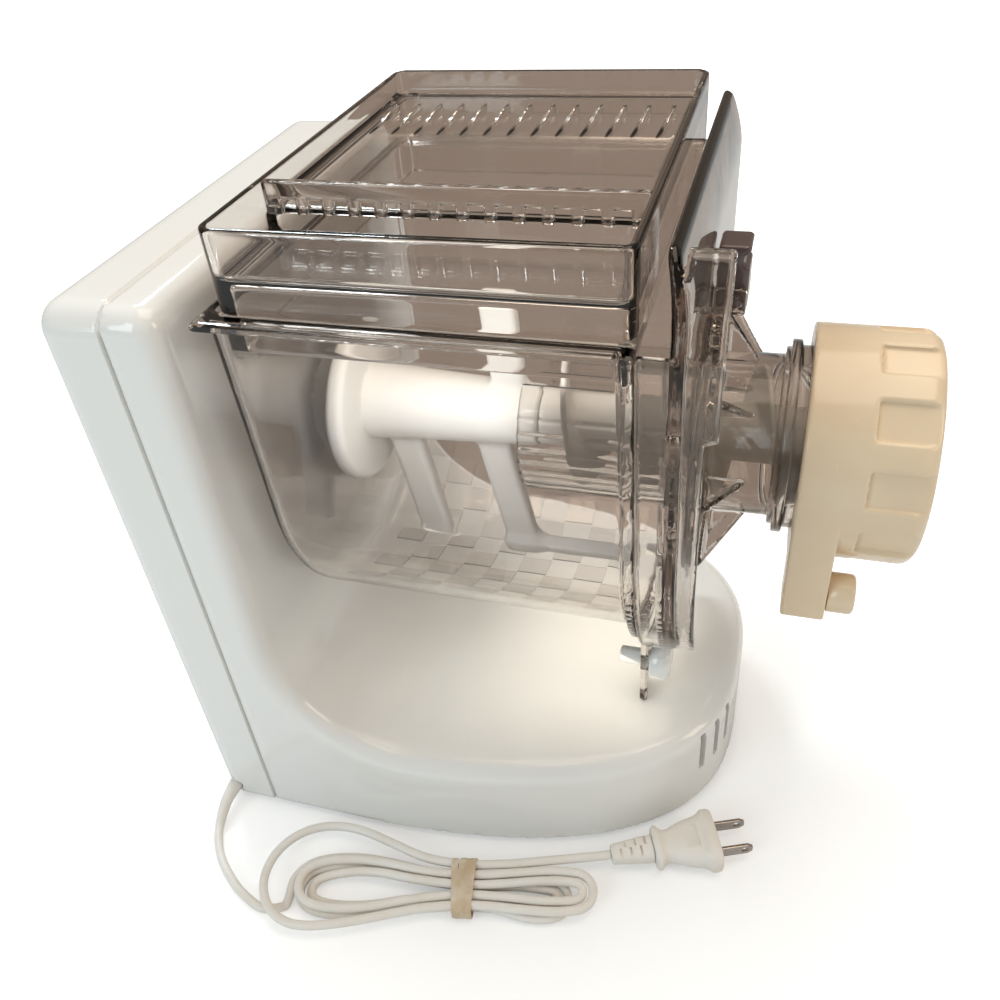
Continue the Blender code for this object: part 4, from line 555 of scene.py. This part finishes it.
# The housing: one white gloss moulding, the front half of the column running down in a hollow
# sweep into the motor base, a little over five millimetres thick, open at the rear and below.
def moulded(name, rule, low, high, step):
    """The skin where a distance rule is zero: read on a grid, then drawn onto the exact surface."""
    axes = [numpy.arange(start, stop + step, step) for start, stop in zip(low, high)]
    field = rule(*numpy.meshgrid(*axes, indexing="ij"))
    solid = field < 0
    cells = tuple(size - 1 for size in field.shape)
    total = numpy.zeros((3, cells[0] * cells[1] * cells[2]))
    count = numpy.zeros(cells[0] * cells[1] * cells[2])
    quads = []
    for axis in range(3):
        near = [slice(None)] * 3
        far = [slice(None)] * 3
        near[axis] = slice(0, -1)
        far[axis] = slice(1, None)
        crossing = solid[tuple(near)] != solid[tuple(far)]
        spots = numpy.array(numpy.nonzero(crossing))
        first = field[tuple(near)][crossing]
        second = field[tuple(far)][crossing]
        place = spots.astype(float)
        place[axis] += first / (first - second)
        outward = solid[tuple(near)][crossing]
        one, two = [other for other in range(3) if other != axis]
        corners = []
        for shift_one, shift_two in ((-1, -1), (0, -1), (0, 0), (-1, 0)):
            cell = spots.copy()
            cell[one] += shift_one
            cell[two] += shift_two
            flat = (cell[0] * cells[1] + cell[1]) * cells[2] + cell[2]
            corners.append(flat)
            for part in range(3):
                total[part] += numpy.bincount(flat, place[part], len(count))
            count += numpy.bincount(flat, minlength=len(count))
        corners = numpy.array(corners).T
        flip = outward == (axis == 1)
        corners[flip] = corners[flip][:, ::-1]
        quads.append(corners)
    used = numpy.nonzero(count)[0]
    number = numpy.full(len(count), -1)
    number[used] = numpy.arange(len(used))
    places = (total[:, used] / count[used]).T * step + numpy.array(low)
    nudge = step / 50
    for _ in range(4):
        value = rule(*places.T)
        slope = numpy.array([rule(*(places + nudge * way).T) - rule(*(places - nudge * way).T)
                             for way in numpy.eye(3)]).T / (2 * nudge)
        steep = numpy.maximum((slope ** 2).sum(axis=1), 0.2)
        move = -(value / steep)[:, None] * slope
        size = numpy.linalg.norm(move, axis=1, keepdims=True)
        places += move * numpy.minimum(1, 0.4 * step / numpy.maximum(size, 1e-9))
    mesh = bpy.data.meshes.new(name)
    faces = number[numpy.concatenate(quads)]
    mesh.from_pydata(places.tolist(), [], faces.tolist())
    mesh.update()
    return add_object(name, mesh)


def soft_meet(radius, *depths):
    """Distance of a body whose faces, at these depths inward, meet in a round of the radius."""
    short = sum(numpy.maximum(radius - depth, 0) ** 2 for depth in depths)
    inside = numpy.minimum.reduce(depths)
    return numpy.where(short > 0, numpy.sqrt(short) - radius, -inside)


half_wide = 0.1025
parting = -0.120
column_front = -0.100
column_top = 0.2706
deck_top = 0.053
sweep = 0.060
nose_reach = 0.193
nose_power = 2.7
shaft_z = 0.179


def plan_depth(x, y):
    """How far inside the base's outline a point lies, seen from above."""
    along = numpy.maximum(x - column_front, 0) / nose_reach
    across = numpy.abs(y) / half_wide
    share = (along ** nose_power + across ** nose_power + 1e-12) ** (1 / nose_power)
    fall = nose_power - 1
    slope = numpy.sqrt((along ** fall / nose_reach) ** 2 + (across ** fall / half_wide) ** 2) / share ** fall
    return (1 - share) / numpy.maximum(slope, 3)


def side_depth(x, z):
    """How far inside the column's face, the sweep and the deck a point lies, seen from the side."""
    centre_x = column_front + sweep
    centre_z = deck_top + sweep
    hollow = numpy.hypot(x - centre_x, z - centre_z) - sweep
    upper = column_front - x
    deck = deck_top - z
    return numpy.where((x < centre_x) & (z < centre_z), hollow, numpy.where(z >= centre_z, upper, deck))


def housing_rule(x, y, z):
    """The front moulding: its outer skin less the same skin drawn in by the wall."""
    plan = plan_depth(x, y)
    side = side_depth(x, z)
    top = column_top - z
    edge = 0.0085
    wall = 0.0055
    outer = soft_meet(edge, plan, side, top)
    inner = soft_meet(0.003, plan - wall, side - wall, top - wall)
    skirt = numpy.maximum(0.0036 - plan, z - 0.0062)
    inner = numpy.minimum(inner, skirt)
    shell = numpy.maximum(outer, -inner)
    radius = numpy.hypot(y, z - shaft_z)
    boss = numpy.maximum(radius - 0.022, numpy.maximum(x + 0.0913, -0.103 - x))
    spigot = numpy.maximum(radius - 0.0116, numpy.maximum(x + 0.0886, -0.103 - x))
    shell = numpy.minimum(shell, numpy.minimum(boss, spigot))
    bore = radius - 0.0099
    plunger = numpy.maximum(numpy.hypot(y + 0.058, z - 0.2366) - 0.0043, -0.110 - x)
    shell = numpy.maximum(shell, -numpy.minimum(bore, plunger))
    return numpy.maximum(shell, numpy.maximum(parting - x, 0.003 - z))


white_plastic = moulded_material("white_gloss_plastic", (0.91, 0.91, 0.885), (0.87, 0.83, 0.75), 0.09,
                                 aging=0.3, cloud=6, grain=0.02, grain_scale=260, rubbing=0.05, coat=0.4)
front_moulding = moulded("front_moulding", housing_rule, (-0.1245, -0.1065, -0.0015),
                         (0.0975, 0.1065, 0.2745), 0.002)
vents = []
for turn_share in (-0.26, -0.196, -0.135, 0.135, 0.196, 0.26):
    angle = turn_share * math.pi / 2
    spots = []
    for inset in (0, 0.012):
        x = column_front + abs(math.cos(angle)) ** (2 / nose_power) * (nose_reach - inset)
        y = math.copysign(abs(math.sin(angle)) ** (2 / nose_power) * (half_wide - inset), turn_share)
        spots.append((x, y))
    vent = lofted("vent", [(-0.012, 0.002, 0.012, 0.25), (0.012, 0.002, 0.012, 0.25)], 32)
    (x, y), (inner_x, inner_y) = spots
    vent.data.transform(Matrix.Translation((x, y, 0.036))
                        @ Matrix.Rotation(math.atan2(y - inner_y, x - inner_x), 4, "Z"))
    vents.append(vent)
front_moulding = shaped(front_moulding, vents)
dress(front_moulding, white_plastic, "housing", "white_plastic", "base_housing", angle=40)


# The rear cover: the other half of the column, a shallow white shell with round outer corners,
# drawn up to the front moulding by four screws.
def rear_rule(x, y, z):
    """The rear shell, with the holes for the switch, the screws and the cord."""
    rear = -0.149
    edge = 0.011
    wall = 0.005
    faces = (x - rear, half_wide - numpy.abs(y), column_top - z)
    outer = soft_meet(edge, *faces)
    inner = soft_meet(0.004, *[face - wall for face in faces])
    inner = numpy.maximum(inner, 0.006 - z)
    shell = numpy.maximum(outer, -inner)
    switch = numpy.maximum(numpy.abs(y + 0.030) - 0.0163, numpy.abs(z - 0.2461) - 0.0113)
    holes = [numpy.maximum(switch, x + 0.140)]
    for side in (-1, 1):
        for level in (0.023, 0.243):
            holes.append(numpy.maximum(numpy.hypot(y - side * 0.088, z - level) - 0.0045, x + 0.1472))
    holes.append(numpy.maximum(numpy.hypot(x + 0.142, z - 0.008) - 0.0038, y + 0.094))
    shell = numpy.maximum(shell, -numpy.minimum.reduce(holes))
    return numpy.maximum(shell, numpy.maximum(x + 0.1203, 0.003 - z))


rear_shell = moulded("rear_shell", rear_rule, (-0.1525, -0.1065, -0.0015), (-0.1165, 0.1065, 0.2745), 0.0018)
dress(rear_shell, white_plastic, "housing", "white_plastic", "rear_cover", angle=40)


# The bowl: a smoky clear moulded trough with a round bottom, three millimetres thick, a lip along
# its rim, a flange at its open end and two legs that the white knobs lock to the base.
def clear_plastic(name, tint, density, roughness=0.03):
    """Smoky clear moulded plastic: a light tint at each face and a brown grey depth at the edges."""
    made, shader = shader_of(name)
    tree = made.node_tree
    where = add_node(tree, "TexCoord").outputs["Object"]
    flow = add_node(tree, "TexNoise", {"Scale": 38, "Detail": 2, "Vector": where})
    bump = add_node(tree, "Bump", {"Strength": 0.10, "Distance": 0.0005, "Height": flow.outputs["Fac"]})
    feed(tree, shader, {"Base Color": (*tint, 1), "Roughness": roughness, "IOR": 1.49,
                        "Transmission Weight": 1.0, "Normal": bump.outputs[0]})
    depth = add_node(tree, "VolumeAbsorption", {"Color": (0.62, 0.52, 0.45, 1), "Density": density})
    feed(tree, tree.nodes["Material Output"], {"Volume": depth.outputs[0]})
    return made


def blend(radius, *parts):
    """Distance of several bodies grown together with a round of the radius in the corners."""
    return -soft_meet(radius, *parts)


def span(value, low, high):
    """How far a coordinate lies inside a range."""
    return numpy.minimum(value - low, high - value)


def trough_depth(y, z):
    """How far inside the trough's round-bottomed profile a point lies."""
    rise = z - shaft_z
    low = 0.0832 - numpy.hypot(y, rise)
    high = 0.998 * (0.0832 + 0.0616 * rise - numpy.abs(y))
    return numpy.where(rise < 0, low, high)


def bowl_rule(x, y, z):
    """The trough with its lip, end flange and legs."""
    profile = trough_depth(y, z)
    outer = soft_meet(0.007, profile, x + 0.091)
    inner = soft_meet(0.0045, profile - 0.003, x + 0.088)
    walls = numpy.maximum(outer, -inner)
    lip = soft_meet(0.0012, 0.095 - numpy.abs(y), numpy.abs(y) - 0.084, z - 0.262, x + 0.091)
    flange = soft_meet(0.001, profile + 0.005, 0.0015 - profile, x - 0.050)
    leg = soft_meet(0.0012, 0.007 - numpy.abs(numpy.abs(y) - 0.036), x - 0.050, z - 0.0535, 0.1374 - z)
    leg = numpy.maximum(leg, profile - 0.0015)
    body = blend(0.0015, walls, lip, flange, leg)
    body = soft_meet(0.001, -body, 0.265 - z, 0.0536 - x)
    holes = numpy.minimum(numpy.hypot(numpy.abs(y) - 0.036, z - 0.076) - 0.0043,
                          numpy.maximum(numpy.hypot(y, z - shaft_z) - 0.0119, x + 0.080))
    return numpy.maximum(body, -holes)


smoky_clear = clear_plastic("smoky_clear", (0.95, 0.93, 0.915), 14)
trough = moulded("trough", bowl_rule, (-0.0945, -0.0985, 0.0505), (0.0565, 0.0985, 0.2685), 0.0015)

# Two staggered sets of square pads stand a little proud of the trough's floor.
pad_places = []
for row in range(-4, 5):
    for column in range(6):
        along = -0.071 + 0.0265 * column + (0.01325 if row % 2 else 0)
        if along < 0.045:
            pad_places.append((along, row * 0.0142 / 0.0795))
places, faces = [], []
for along, turn_angle in pad_places:
    start = len(places)
    for x in (along - 0.0067, along + 0.0067):
        for radius in (0.0802, 0.0797):
            for step in range(5):
                angle = turn_angle + (step - 2) * 0.0063 / 2 / 0.0797
                places.append((x, radius * math.sin(angle), shaft_z - radius * math.cos(angle)))
    for step in range(4):
        near, far = start + step, start + 10 + step
        faces += [(near, near + 1, far + 1, far), (near + 5, near + 6, far + 6, far + 5),
                  (near, near + 1, near + 6, near + 5), (far, far + 1, far + 6, far + 5)]
    for step in (0, 4):
        near, far = start + step, start + 10 + step
        faces.append((near, far, far + 5, near + 5))
pads = add_piece("trough_pads", places, faces)
dress(trough, smoky_clear, "bowl", "smoky_clear_plastic", "bowl")
dress(pads, smoky_clear, "bowl", "smoky_clear_plastic")


# The lid: a clear tray with round corners, cut by a crossbar with a row of windows into a sunk near
# tray and a plate, with a row of slanted fins at the far side and a skirt inside the bowl's rim.
def lid_rule(x, y, z):
    """The lid's walls, plates, crossbar and skirt."""
    plan = -soft_meet(0.0065, 0.0885 - numpy.abs(y), 0.0537 - x, x + 0.0843)
    outer = soft_meet(0.0012, plan, 0.2946 - z, z - 0.2654)
    skirt = soft_meet(0.001, 0.084 - numpy.abs(y), 0.0512 - x, x + 0.0840, z - 0.2503, 0.268 - z)
    body = blend(0.001, outer, skirt)
    hollow = plan - 0.0026
    main = soft_meet(0.0022, hollow, z - 0.2856, y + 0.0437)
    tray = soft_meet(0.0022, hollow, z - 0.2766, -0.0463 - y)
    under = (span(x, -0.0790, 0.0487), z - 0.22)
    under_main = soft_meet(0.002, *under, 0.0815 - y, y + 0.0463, 0.2836 - z)
    under_tray = soft_meet(0.002, *under, y + 0.0815, -0.0437 - y, 0.2746 - z)
    ledge = numpy.minimum(soft_meet(0.0006, span(y, -0.055, -0.0420), z - 0.2856),
                          soft_meet(0.0006, span(y, -0.055, -0.0462), z - 0.2826))
    cut = numpy.minimum.reduce([main, tray, under_main, under_tray, numpy.maximum(ledge, -hollow)])
    return soft_meet(0.0006, -body, cut)


lid_tray = moulded("lid_tray", lid_rule, (-0.0870, -0.0915, 0.2478), (0.0565, 0.0915, 0.2975), 0.00112)
fin_places = [(-0.0008, 0.0285, 0.2858), (-0.0008, 0.0555, 0.2858), (-0.0008, 0.0555, 0.2898),
              (0.0008, 0.0285, 0.2858), (0.0008, 0.0555, 0.2858), (0.0008, 0.0555, 0.2898)]
fin_faces = [(0, 1, 2), (3, 5, 4), (0, 3, 4, 1), (1, 4, 5, 2), (2, 5, 3, 0)]
places, faces = [], []
for index in range(13):
    start = len(places)
    slant = -0.0729 + 0.0096 * index
    places += [(slant + x + 0.10 * (y - 0.042), y, z) for x, y, z in fin_places]
    faces += [tuple(start + corner for corner in face) for face in fin_faces]
fins = soften(add_piece("lid_fins", places, faces), 0.0004, 2)
dress(lid_tray, smoky_clear, "lid", "smoky_clear_plastic", "lid")
dress(fins, smoky_clear, "lid", "smoky_clear_plastic")

# The crossbar: a thick rail on a row of short posts, so that windows open between them.
outline = [(-0.0816, 0.2944), (0.0510, 0.2944), (0.0510, 0.2829)]
for index in range(12, -1, -1):
    middle = -0.0153 + 0.0096 * (index - 6)
    outline += [(middle + 0.0029, 0.2829), (middle + 0.0029, 0.2882), (middle - 0.0029, 0.2882),
                (middle - 0.0029, 0.2829)]
outline.append((-0.0816, 0.2829))
crossbar = capped("lid_crossbar", [[(x, y, z) for x, z in outline] for y in (-0.0474, -0.0436)])
crossbar = soften(crossbar, 0.0007, 3)
dress(crossbar, smoky_clear, "lid", "smoky_clear_plastic")


# The front panel: a clear plate behind the bowl's end, bowed back at its top, with a rim round its
# rear, a grip fin on the near side, and the extrusion tube with its gussets, flange and neck.
def panel_depth(y, z):
    """How far inside the panel's outline a point lies."""
    rise = z - shaft_z
    wide = numpy.abs(y)
    low = 0.091 - numpy.hypot(y, rise)
    side = 0.999 * (0.091 + 0.0465 * rise - wide)
    slant = 0.0175 - 0.8175 * (wide - 0.0737) - 0.576 * (z - 0.2651)
    high = -soft_meet(0.004, side, slant, 0.2905 - z)
    return numpy.where(rise < 0, low, high)


def panel_rule(x, y, z):
    """The panel's plate, rims, grip fin, boss, gussets and latch ears."""
    depth = panel_depth(y, z)
    rise = z - shaft_z
    radius = numpy.hypot(y, rise)
    bow = 0.0045 * numpy.clip((z - 0.262) / 0.0285, 0, 1) ** 2
    plate = soft_meet(0.0030, depth, 0.0679 - bow - x, x - 0.0640 + bow)
    rear = soft_meet(0.001, depth, 0.003 - depth, x - 0.0543, 0.0655 - x, 0.2648 - z)
    fin_end = numpy.where(z > 0.2365, 0.0795, 0.0755)
    fin = soft_meet(0.0012, depth, 0.003 - depth, x - 0.066, fin_end - x, z - 0.1252, -0.0735 - y)
    disc = soft_meet(0.002, 0.057 - radius, 0.072 - x, x - 0.066)
    eighth = math.pi / 4
    angle = numpy.arctan2(y, rise)
    lateral = radius * numpy.abs(numpy.sin(angle - eighth * numpy.round(angle / eighth)))
    slope = 0.84 * (0.0884 - x) - 0.543 * (radius - 0.0314)
    gusset = soft_meet(0.0006, 0.00128 - lateral, slope, x - 0.070, 0.0562 - radius, radius - 0.0326)
    ears = soft_meet(0.0008, span(numpy.abs(y), 0.0078, 0.0108), span(x, 0.066, 0.0802),
                     span(z, 0.2362, 0.2458))
    body = blend(0.0016, numpy.minimum(plate, rear), fin, disc)
    body = blend(0.001, body, gusset)
    body = numpy.minimum(body, ears)
    bore = numpy.minimum(radius - 0.0294, numpy.hypot(x - 0.07615, z - 0.241) - 0.0023)
    bore = numpy.where(radius < 0.05, bore, numpy.maximum(bore, numpy.abs(y) - 0.013))
    return soft_meet(0.0006, -body, bore)


face_panel = moulded("face_panel", panel_rule, (0.0520, -0.0985, 0.0855), (0.0925, 0.0985, 0.2935), 0.0013)
sides = 96
profile = [(0.0721, 0.0294), (0.0721, 0.0324), (0.0957, 0.0324), (0.0961, 0.0328), (0.0961, 0.0351),
           (0.0965, 0.0355), (0.0978, 0.0355), (0.0981, 0.0358), (0.0981, 0.0381), (0.0985, 0.0385),
           (0.1015, 0.0385), (0.1020, 0.0380), (0.1020, 0.0364), (0.1183, 0.0362), (0.1189, 0.0356),
           (0.1189, 0.0298), (0.1185, 0.0294)]
places = []
for x, radius in profile:
    for side in range(sides):
        angle = 2 * math.pi * side / sides
        places.append((x, radius * math.cos(angle), shaft_z + radius * math.sin(angle)))
tube = add_piece("extrusion_tube", places, ring_faces(len(profile), sides, closed=True))
dress(face_panel, smoky_clear, "front", "smoky_clear_plastic", "front_panel")
dress(tube, smoky_clear, "front", "smoky_clear_plastic")


# The sleeve: a clear ribbed tube round the start of the auger, with a window on top and a round foot.
def sleeve_rule(x, y, z):
    """The sleeve with its ribs, window and foot."""
    rise = z - shaft_z
    radius = numpy.hypot(y, rise)
    angle = numpy.arctan2(y, rise)
    rib = 0.0007 * numpy.clip(3 * numpy.cos(30 * angle) - 1.6, 0, 1) * (numpy.abs(angle) > 0.9)
    skin = soft_meet(0.0012, 0.0312 + rib - radius, radius - 0.0291, x + 0.0033, 0.0636 - x)
    foot = soft_meet(0.0008, 0.041 - radius, radius - 0.0291, span(x, 0.0608, 0.0636))
    body = blend(0.001, skin, foot)
    window = soft_meet(0.003, 0.017 - numpy.abs(y), 0.0367 - x, rise)
    return soft_meet(0.0005, -body, window)


auger_guard = moulded("auger_guard", sleeve_rule, (-0.0055, -0.0430, 0.1360), (0.0660, 0.0430, 0.2220),
                      0.00095)
dress(auger_guard, smoky_clear, "front", "smoky_clear_plastic", "auger_sleeve")


# The latch: a dark block above the tube with a finger notch across its front, on a cross pin.
def latch_rule(x, y, z):
    """The latch block, its notch and its pin."""
    front = 0.0803 - 0.0022 * numpy.exp(-((z - 0.2558) / 0.0024) ** 4)
    body = soft_meet(0.0016, 0.0075 - numpy.abs(y), front - x, x - 0.0689, z - 0.2367, 0.2610 - z,
                     0.7071 * ((x - 0.0689) + (z - 0.2367)) - 0.0012)
    pin = soft_meet(0.0004, 0.0020 - numpy.hypot(x - 0.07615, z - 0.241), 0.0107 - numpy.abs(y))
    return numpy.minimum(body, pin)


dark_clear = moulded_material("dark_smoky_plastic", (0.085, 0.055, 0.058), (0.16, 0.12, 0.09), 0.16,
                              cloud=30, grain=0.03, grain_scale=500, coat=0.5)
latch_block = moulded("latch_block", latch_rule, (0.0665, -0.0125, 0.2345), (0.0825, 0.0125, 0.2635), 0.0008)
dress(latch_block, dark_clear, "latch", "dark_smoky_plastic", "front_latch")


# The ring nut: a thick cream ring with eleven grip recesses round its outer edge, a flat lever that
# hangs from its near side, and a mouth that opens toward the front.
def nut_rule(x, y, z):
    """The nut, its lever, grip recesses, bore and mouth."""
    rise = z - shaft_z
    radius = numpy.hypot(y, rise)
    ring = soft_meet(0.0012, 0.0456 - radius, x - 0.1056, 0.1513 - x)
    crown = soft_meet(0.006, 0.0456 - radius, 0.1513 - x)
    ring = numpy.maximum(ring, crown)
    lever = soft_meet(0.0011, y + 0.0456, -0.0276 - y, x - 0.1056, 0.1222 - x, z - 0.124, 0.181 - z)
    body = blend(0.0008, ring, lever)
    turn_step = 2 * math.pi / 11
    angle = numpy.arctan2(rise, y) - 3 * math.pi / 4
    angle = angle - turn_step * numpy.round(angle / turn_step)
    across = radius * numpy.sin(angle)
    out = radius * numpy.cos(angle)
    recess = soft_meet(0.0009, span(across, -0.0072, 0.0072), out - 0.0431, x - 0.1291)
    seat = numpy.where(x < 0.1255, 0.0368, 0.028 + 0.31 * (x - 0.1255))
    bore = radius - seat
    spigot = numpy.maximum(numpy.hypot(y + 0.0365, z - 0.132) - 0.0043, 0.1145 - x)
    body = soft_meet(0.0008, -body, recess)
    return soft_meet(0.0006, -body, numpy.minimum(bore, spigot))


cream_plastic = moulded_material("cream_gloss_plastic", (0.85, 0.70, 0.50), (0.78, 0.57, 0.36), 0.20,
                                 aging=0.7, cloud=16, grain=0.02, grain_scale=300, rubbing=0.08, coat=0.3)
nut_ring = moulded("nut_ring", nut_rule, (0.1035, -0.0475, 0.1215), (0.1535, 0.0475, 0.2270), 0.00105)


def round_piece(name, centre, profile, sides=48):
    """A turned piece about a line along X, closed at both ends: (x, radius) stations."""
    rings = []
    for along, radius in profile:
        turns = [2 * math.pi * side / sides for side in range(sides)]
        rings.append([(along, centre[0] + radius * math.cos(turn), centre[1] + radius * math.sin(turn))
                      for turn in turns])
    return capped(name, rings)


peg_centre = (-0.0365, 0.132)
peg = round_piece("nut_peg", peg_centre, [
    (0.1143, 0.0036), (0.1147, 0.0040), (0.1225, 0.0040), (0.1225, 0.0076), (0.1229, 0.0080),
    (0.1308, 0.0080), (0.1317, 0.0078), (0.1323, 0.0073), (0.1326, 0.0066), (0.1327, 0.0056), (0.1328, 0.0030)])
for piece, stands_for in ((nut_ring, "ring_nut"), (peg, "lever_peg")):
    dress(piece, cream_plastic, "nut", "cream_plastic", stands_for)


# The lock knobs: two white buttons whose stems pass through holes in the bowl's legs.
knob_profile = [(0.0400, 0.0030), (0.0407, 0.0039), (0.0538, 0.0040), (0.0541, 0.0086), (0.0546, 0.0091),
                (0.0598, 0.0092), (0.0613, 0.0089), (0.0624, 0.0081), (0.0631, 0.0068), (0.0634, 0.0050),
                (0.0635, 0.0025)]
for name, side, body in (("near", -1, "knob_near"), ("far", 1, "knob_far")):
    knob = round_piece(f"button_{name}", (side * 0.036, 0.076), knob_profile)
    dress(knob, white_plastic, body, "white_plastic", f"lock_knob_{name}")


# The mixer: a white hub disc and tapering shaft, a short arm below, an arm above, and a long arm
# that bends into a flat scraper along the trough's floor.
def mixer_rule(x, y, z):
    """The mixer with its arms and the socket for the drive shaft."""
    rise = z - shaft_z
    radius = numpy.hypot(y, rise)
    disc = soft_meet(0.0032, 0.0365 - radius, span(x, -0.0854, -0.0774))
    cone = 0.017 - 0.004 * numpy.clip((x + 0.0774) / 0.078, 0, 1)
    shaft = soft_meet(0.0012, cone - radius, span(x, -0.083, 0.0006))
    thick = 0.004 - numpy.abs(y)
    drop = numpy.clip(-rise, 0, 0.08)
    lean = 0.012 * drop / 0.073
    short = soft_meet(0.0026, thick, span(x, -0.0754 + lean, -0.0604 + lean), -rise, rise + 0.073)
    upper = soft_meet(0.0026, thick, span(x, -0.0204 - 0.003 * rise / 0.055, -0.0054 - 0.003 * rise / 0.055),
                      rise, 0.055 - rise)
    fall = 0.012 * numpy.clip((-rise - 0.0065) / 0.0635, 0, 1)
    long_arm = soft_meet(0.0026, thick, span(x, -0.0324 + fall, -0.0174 + fall), -rise, rise + 0.079)
    scraper = soft_meet(0.0026, thick, span(x, -0.0204, 0.0428), span(z, 0.1002, 0.1092))
    body = blend(0.004, numpy.minimum(disc, shaft), short, upper, blend(0.006, long_arm, scraper))
    socket = numpy.maximum(radius - 0.0063, x + 0.0738)
    return numpy.maximum(body, -socket)


paddle_plastic = moulded_material("paddle_plastic", (0.90, 0.89, 0.86), (0.86, 0.82, 0.74), 0.28, aging=0.4,
                                  cloud=25, grain=0.05, grain_scale=700)
paddle = moulded("paddle", mixer_rule, (-0.0875, -0.0385, 0.0980), (0.0450, 0.0385, 0.2360), 0.0012)
dress(paddle, paddle_plastic, "mixer", "paddle_plastic", "mixer")


# The auger: a white screw with one deep flight, whose tip runs in the die.
def auger_rule(x, y, z):
    """The auger's root, its flight and its tip."""
    rise = z - shaft_z
    radius = numpy.hypot(y, rise)
    root = soft_meet(0.001, 0.012 - radius, span(x, 0.0009, 0.1186))
    tip = soft_meet(0.0006, 0.004 - radius, span(x, 0.110, 0.1246))
    pitch = 0.027
    phase = x - 0.0029 - 0.0018 - pitch * (numpy.arctan2(rise, y) / (2 * math.pi) - 1 / 32)
    offset = (phase - pitch * numpy.round(phase / pitch)) * numpy.cos(0.16)
    half = 0.0018 - 0.0006 * numpy.clip((radius - 0.012) / 0.0157, 0, 1)
    flight = soft_meet(0.0009, half - numpy.abs(offset), 0.0277 - radius, span(x, 0.0032, 0.1165))
    return numpy.minimum(blend(0.0015, root, flight), tip)


screw = moulded("screw", auger_rule, (-0.0010, -0.0295, 0.1495), (0.1265, 0.0295, 0.2085), 0.0011)
dress(screw, paddle_plastic, "mixer", "paddle_plastic", "auger")


# Closing parts and works: bottom plate, rubber feet, steel screws, and the motor and gears inside.
foot_rubber = moulded_material("foot_rubber", (0.05, 0.05, 0.05), (0.10, 0.10, 0.09), 0.75, aging=0.6,
                               cloud=60, grain=0.4, grain_scale=1200)
gear_nylon = moulded_material("gear_nylon", (0.80, 0.79, 0.74), (0.74, 0.70, 0.60), 0.40, cloud=50)


def turned_metal(name, colour, roughness):
    """Bare metal with fine turning marks."""
    made, shader = shader_of(name)
    shader.inputs["Metallic"].default_value = 1.0
    add_skin(made, shader, colour, [part * 0.75 for part in colour], 60, 0.6, roughness, 1800, 0.15, 0.25)
    return made


zinc_steel = turned_metal("zinc_steel", (0.62, 0.62, 0.64), 0.32)
bearing_brass = turned_metal("bearing_brass", (0.60, 0.48, 0.28), 0.3)
dark_plastic = moulded_material("dark_plastic", (0.045, 0.035, 0.04), (0.09, 0.07, 0.08), 0.3)

finish_of = {}
for finish, names in (
        (zinc_steel, "gear_plate axle_first axle_second drive_shaft motor_stator motor_rotor"),
        (zinc_steel, "motor_bracket_front motor_bracket_rear"), (bearing_brass, "shaft_bush"),
        (gear_nylon, "gear_first gear_second output_gear motor_fan motor_saddle"),
        (white_plastic, "bottom_plate switch_rocker"), (foot_rubber, "bowl_seal"),
        (dark_plastic, "interlock_switch switch_frame"), (paddle_plastic, "interlock_plunger die")):
    finish_of.update((name, finish) for name in names.split())
for name in nodes.keys():
    if name.startswith(("plate_screw", "rear_screw")):
        finish_of[name] = zinc_steel
    if name.startswith("foot_"):
        finish_of[name] = foot_rubber
for name, finish in finish_of.items():
    for slot in nodes[name].material_slots:
        slot.material = finish
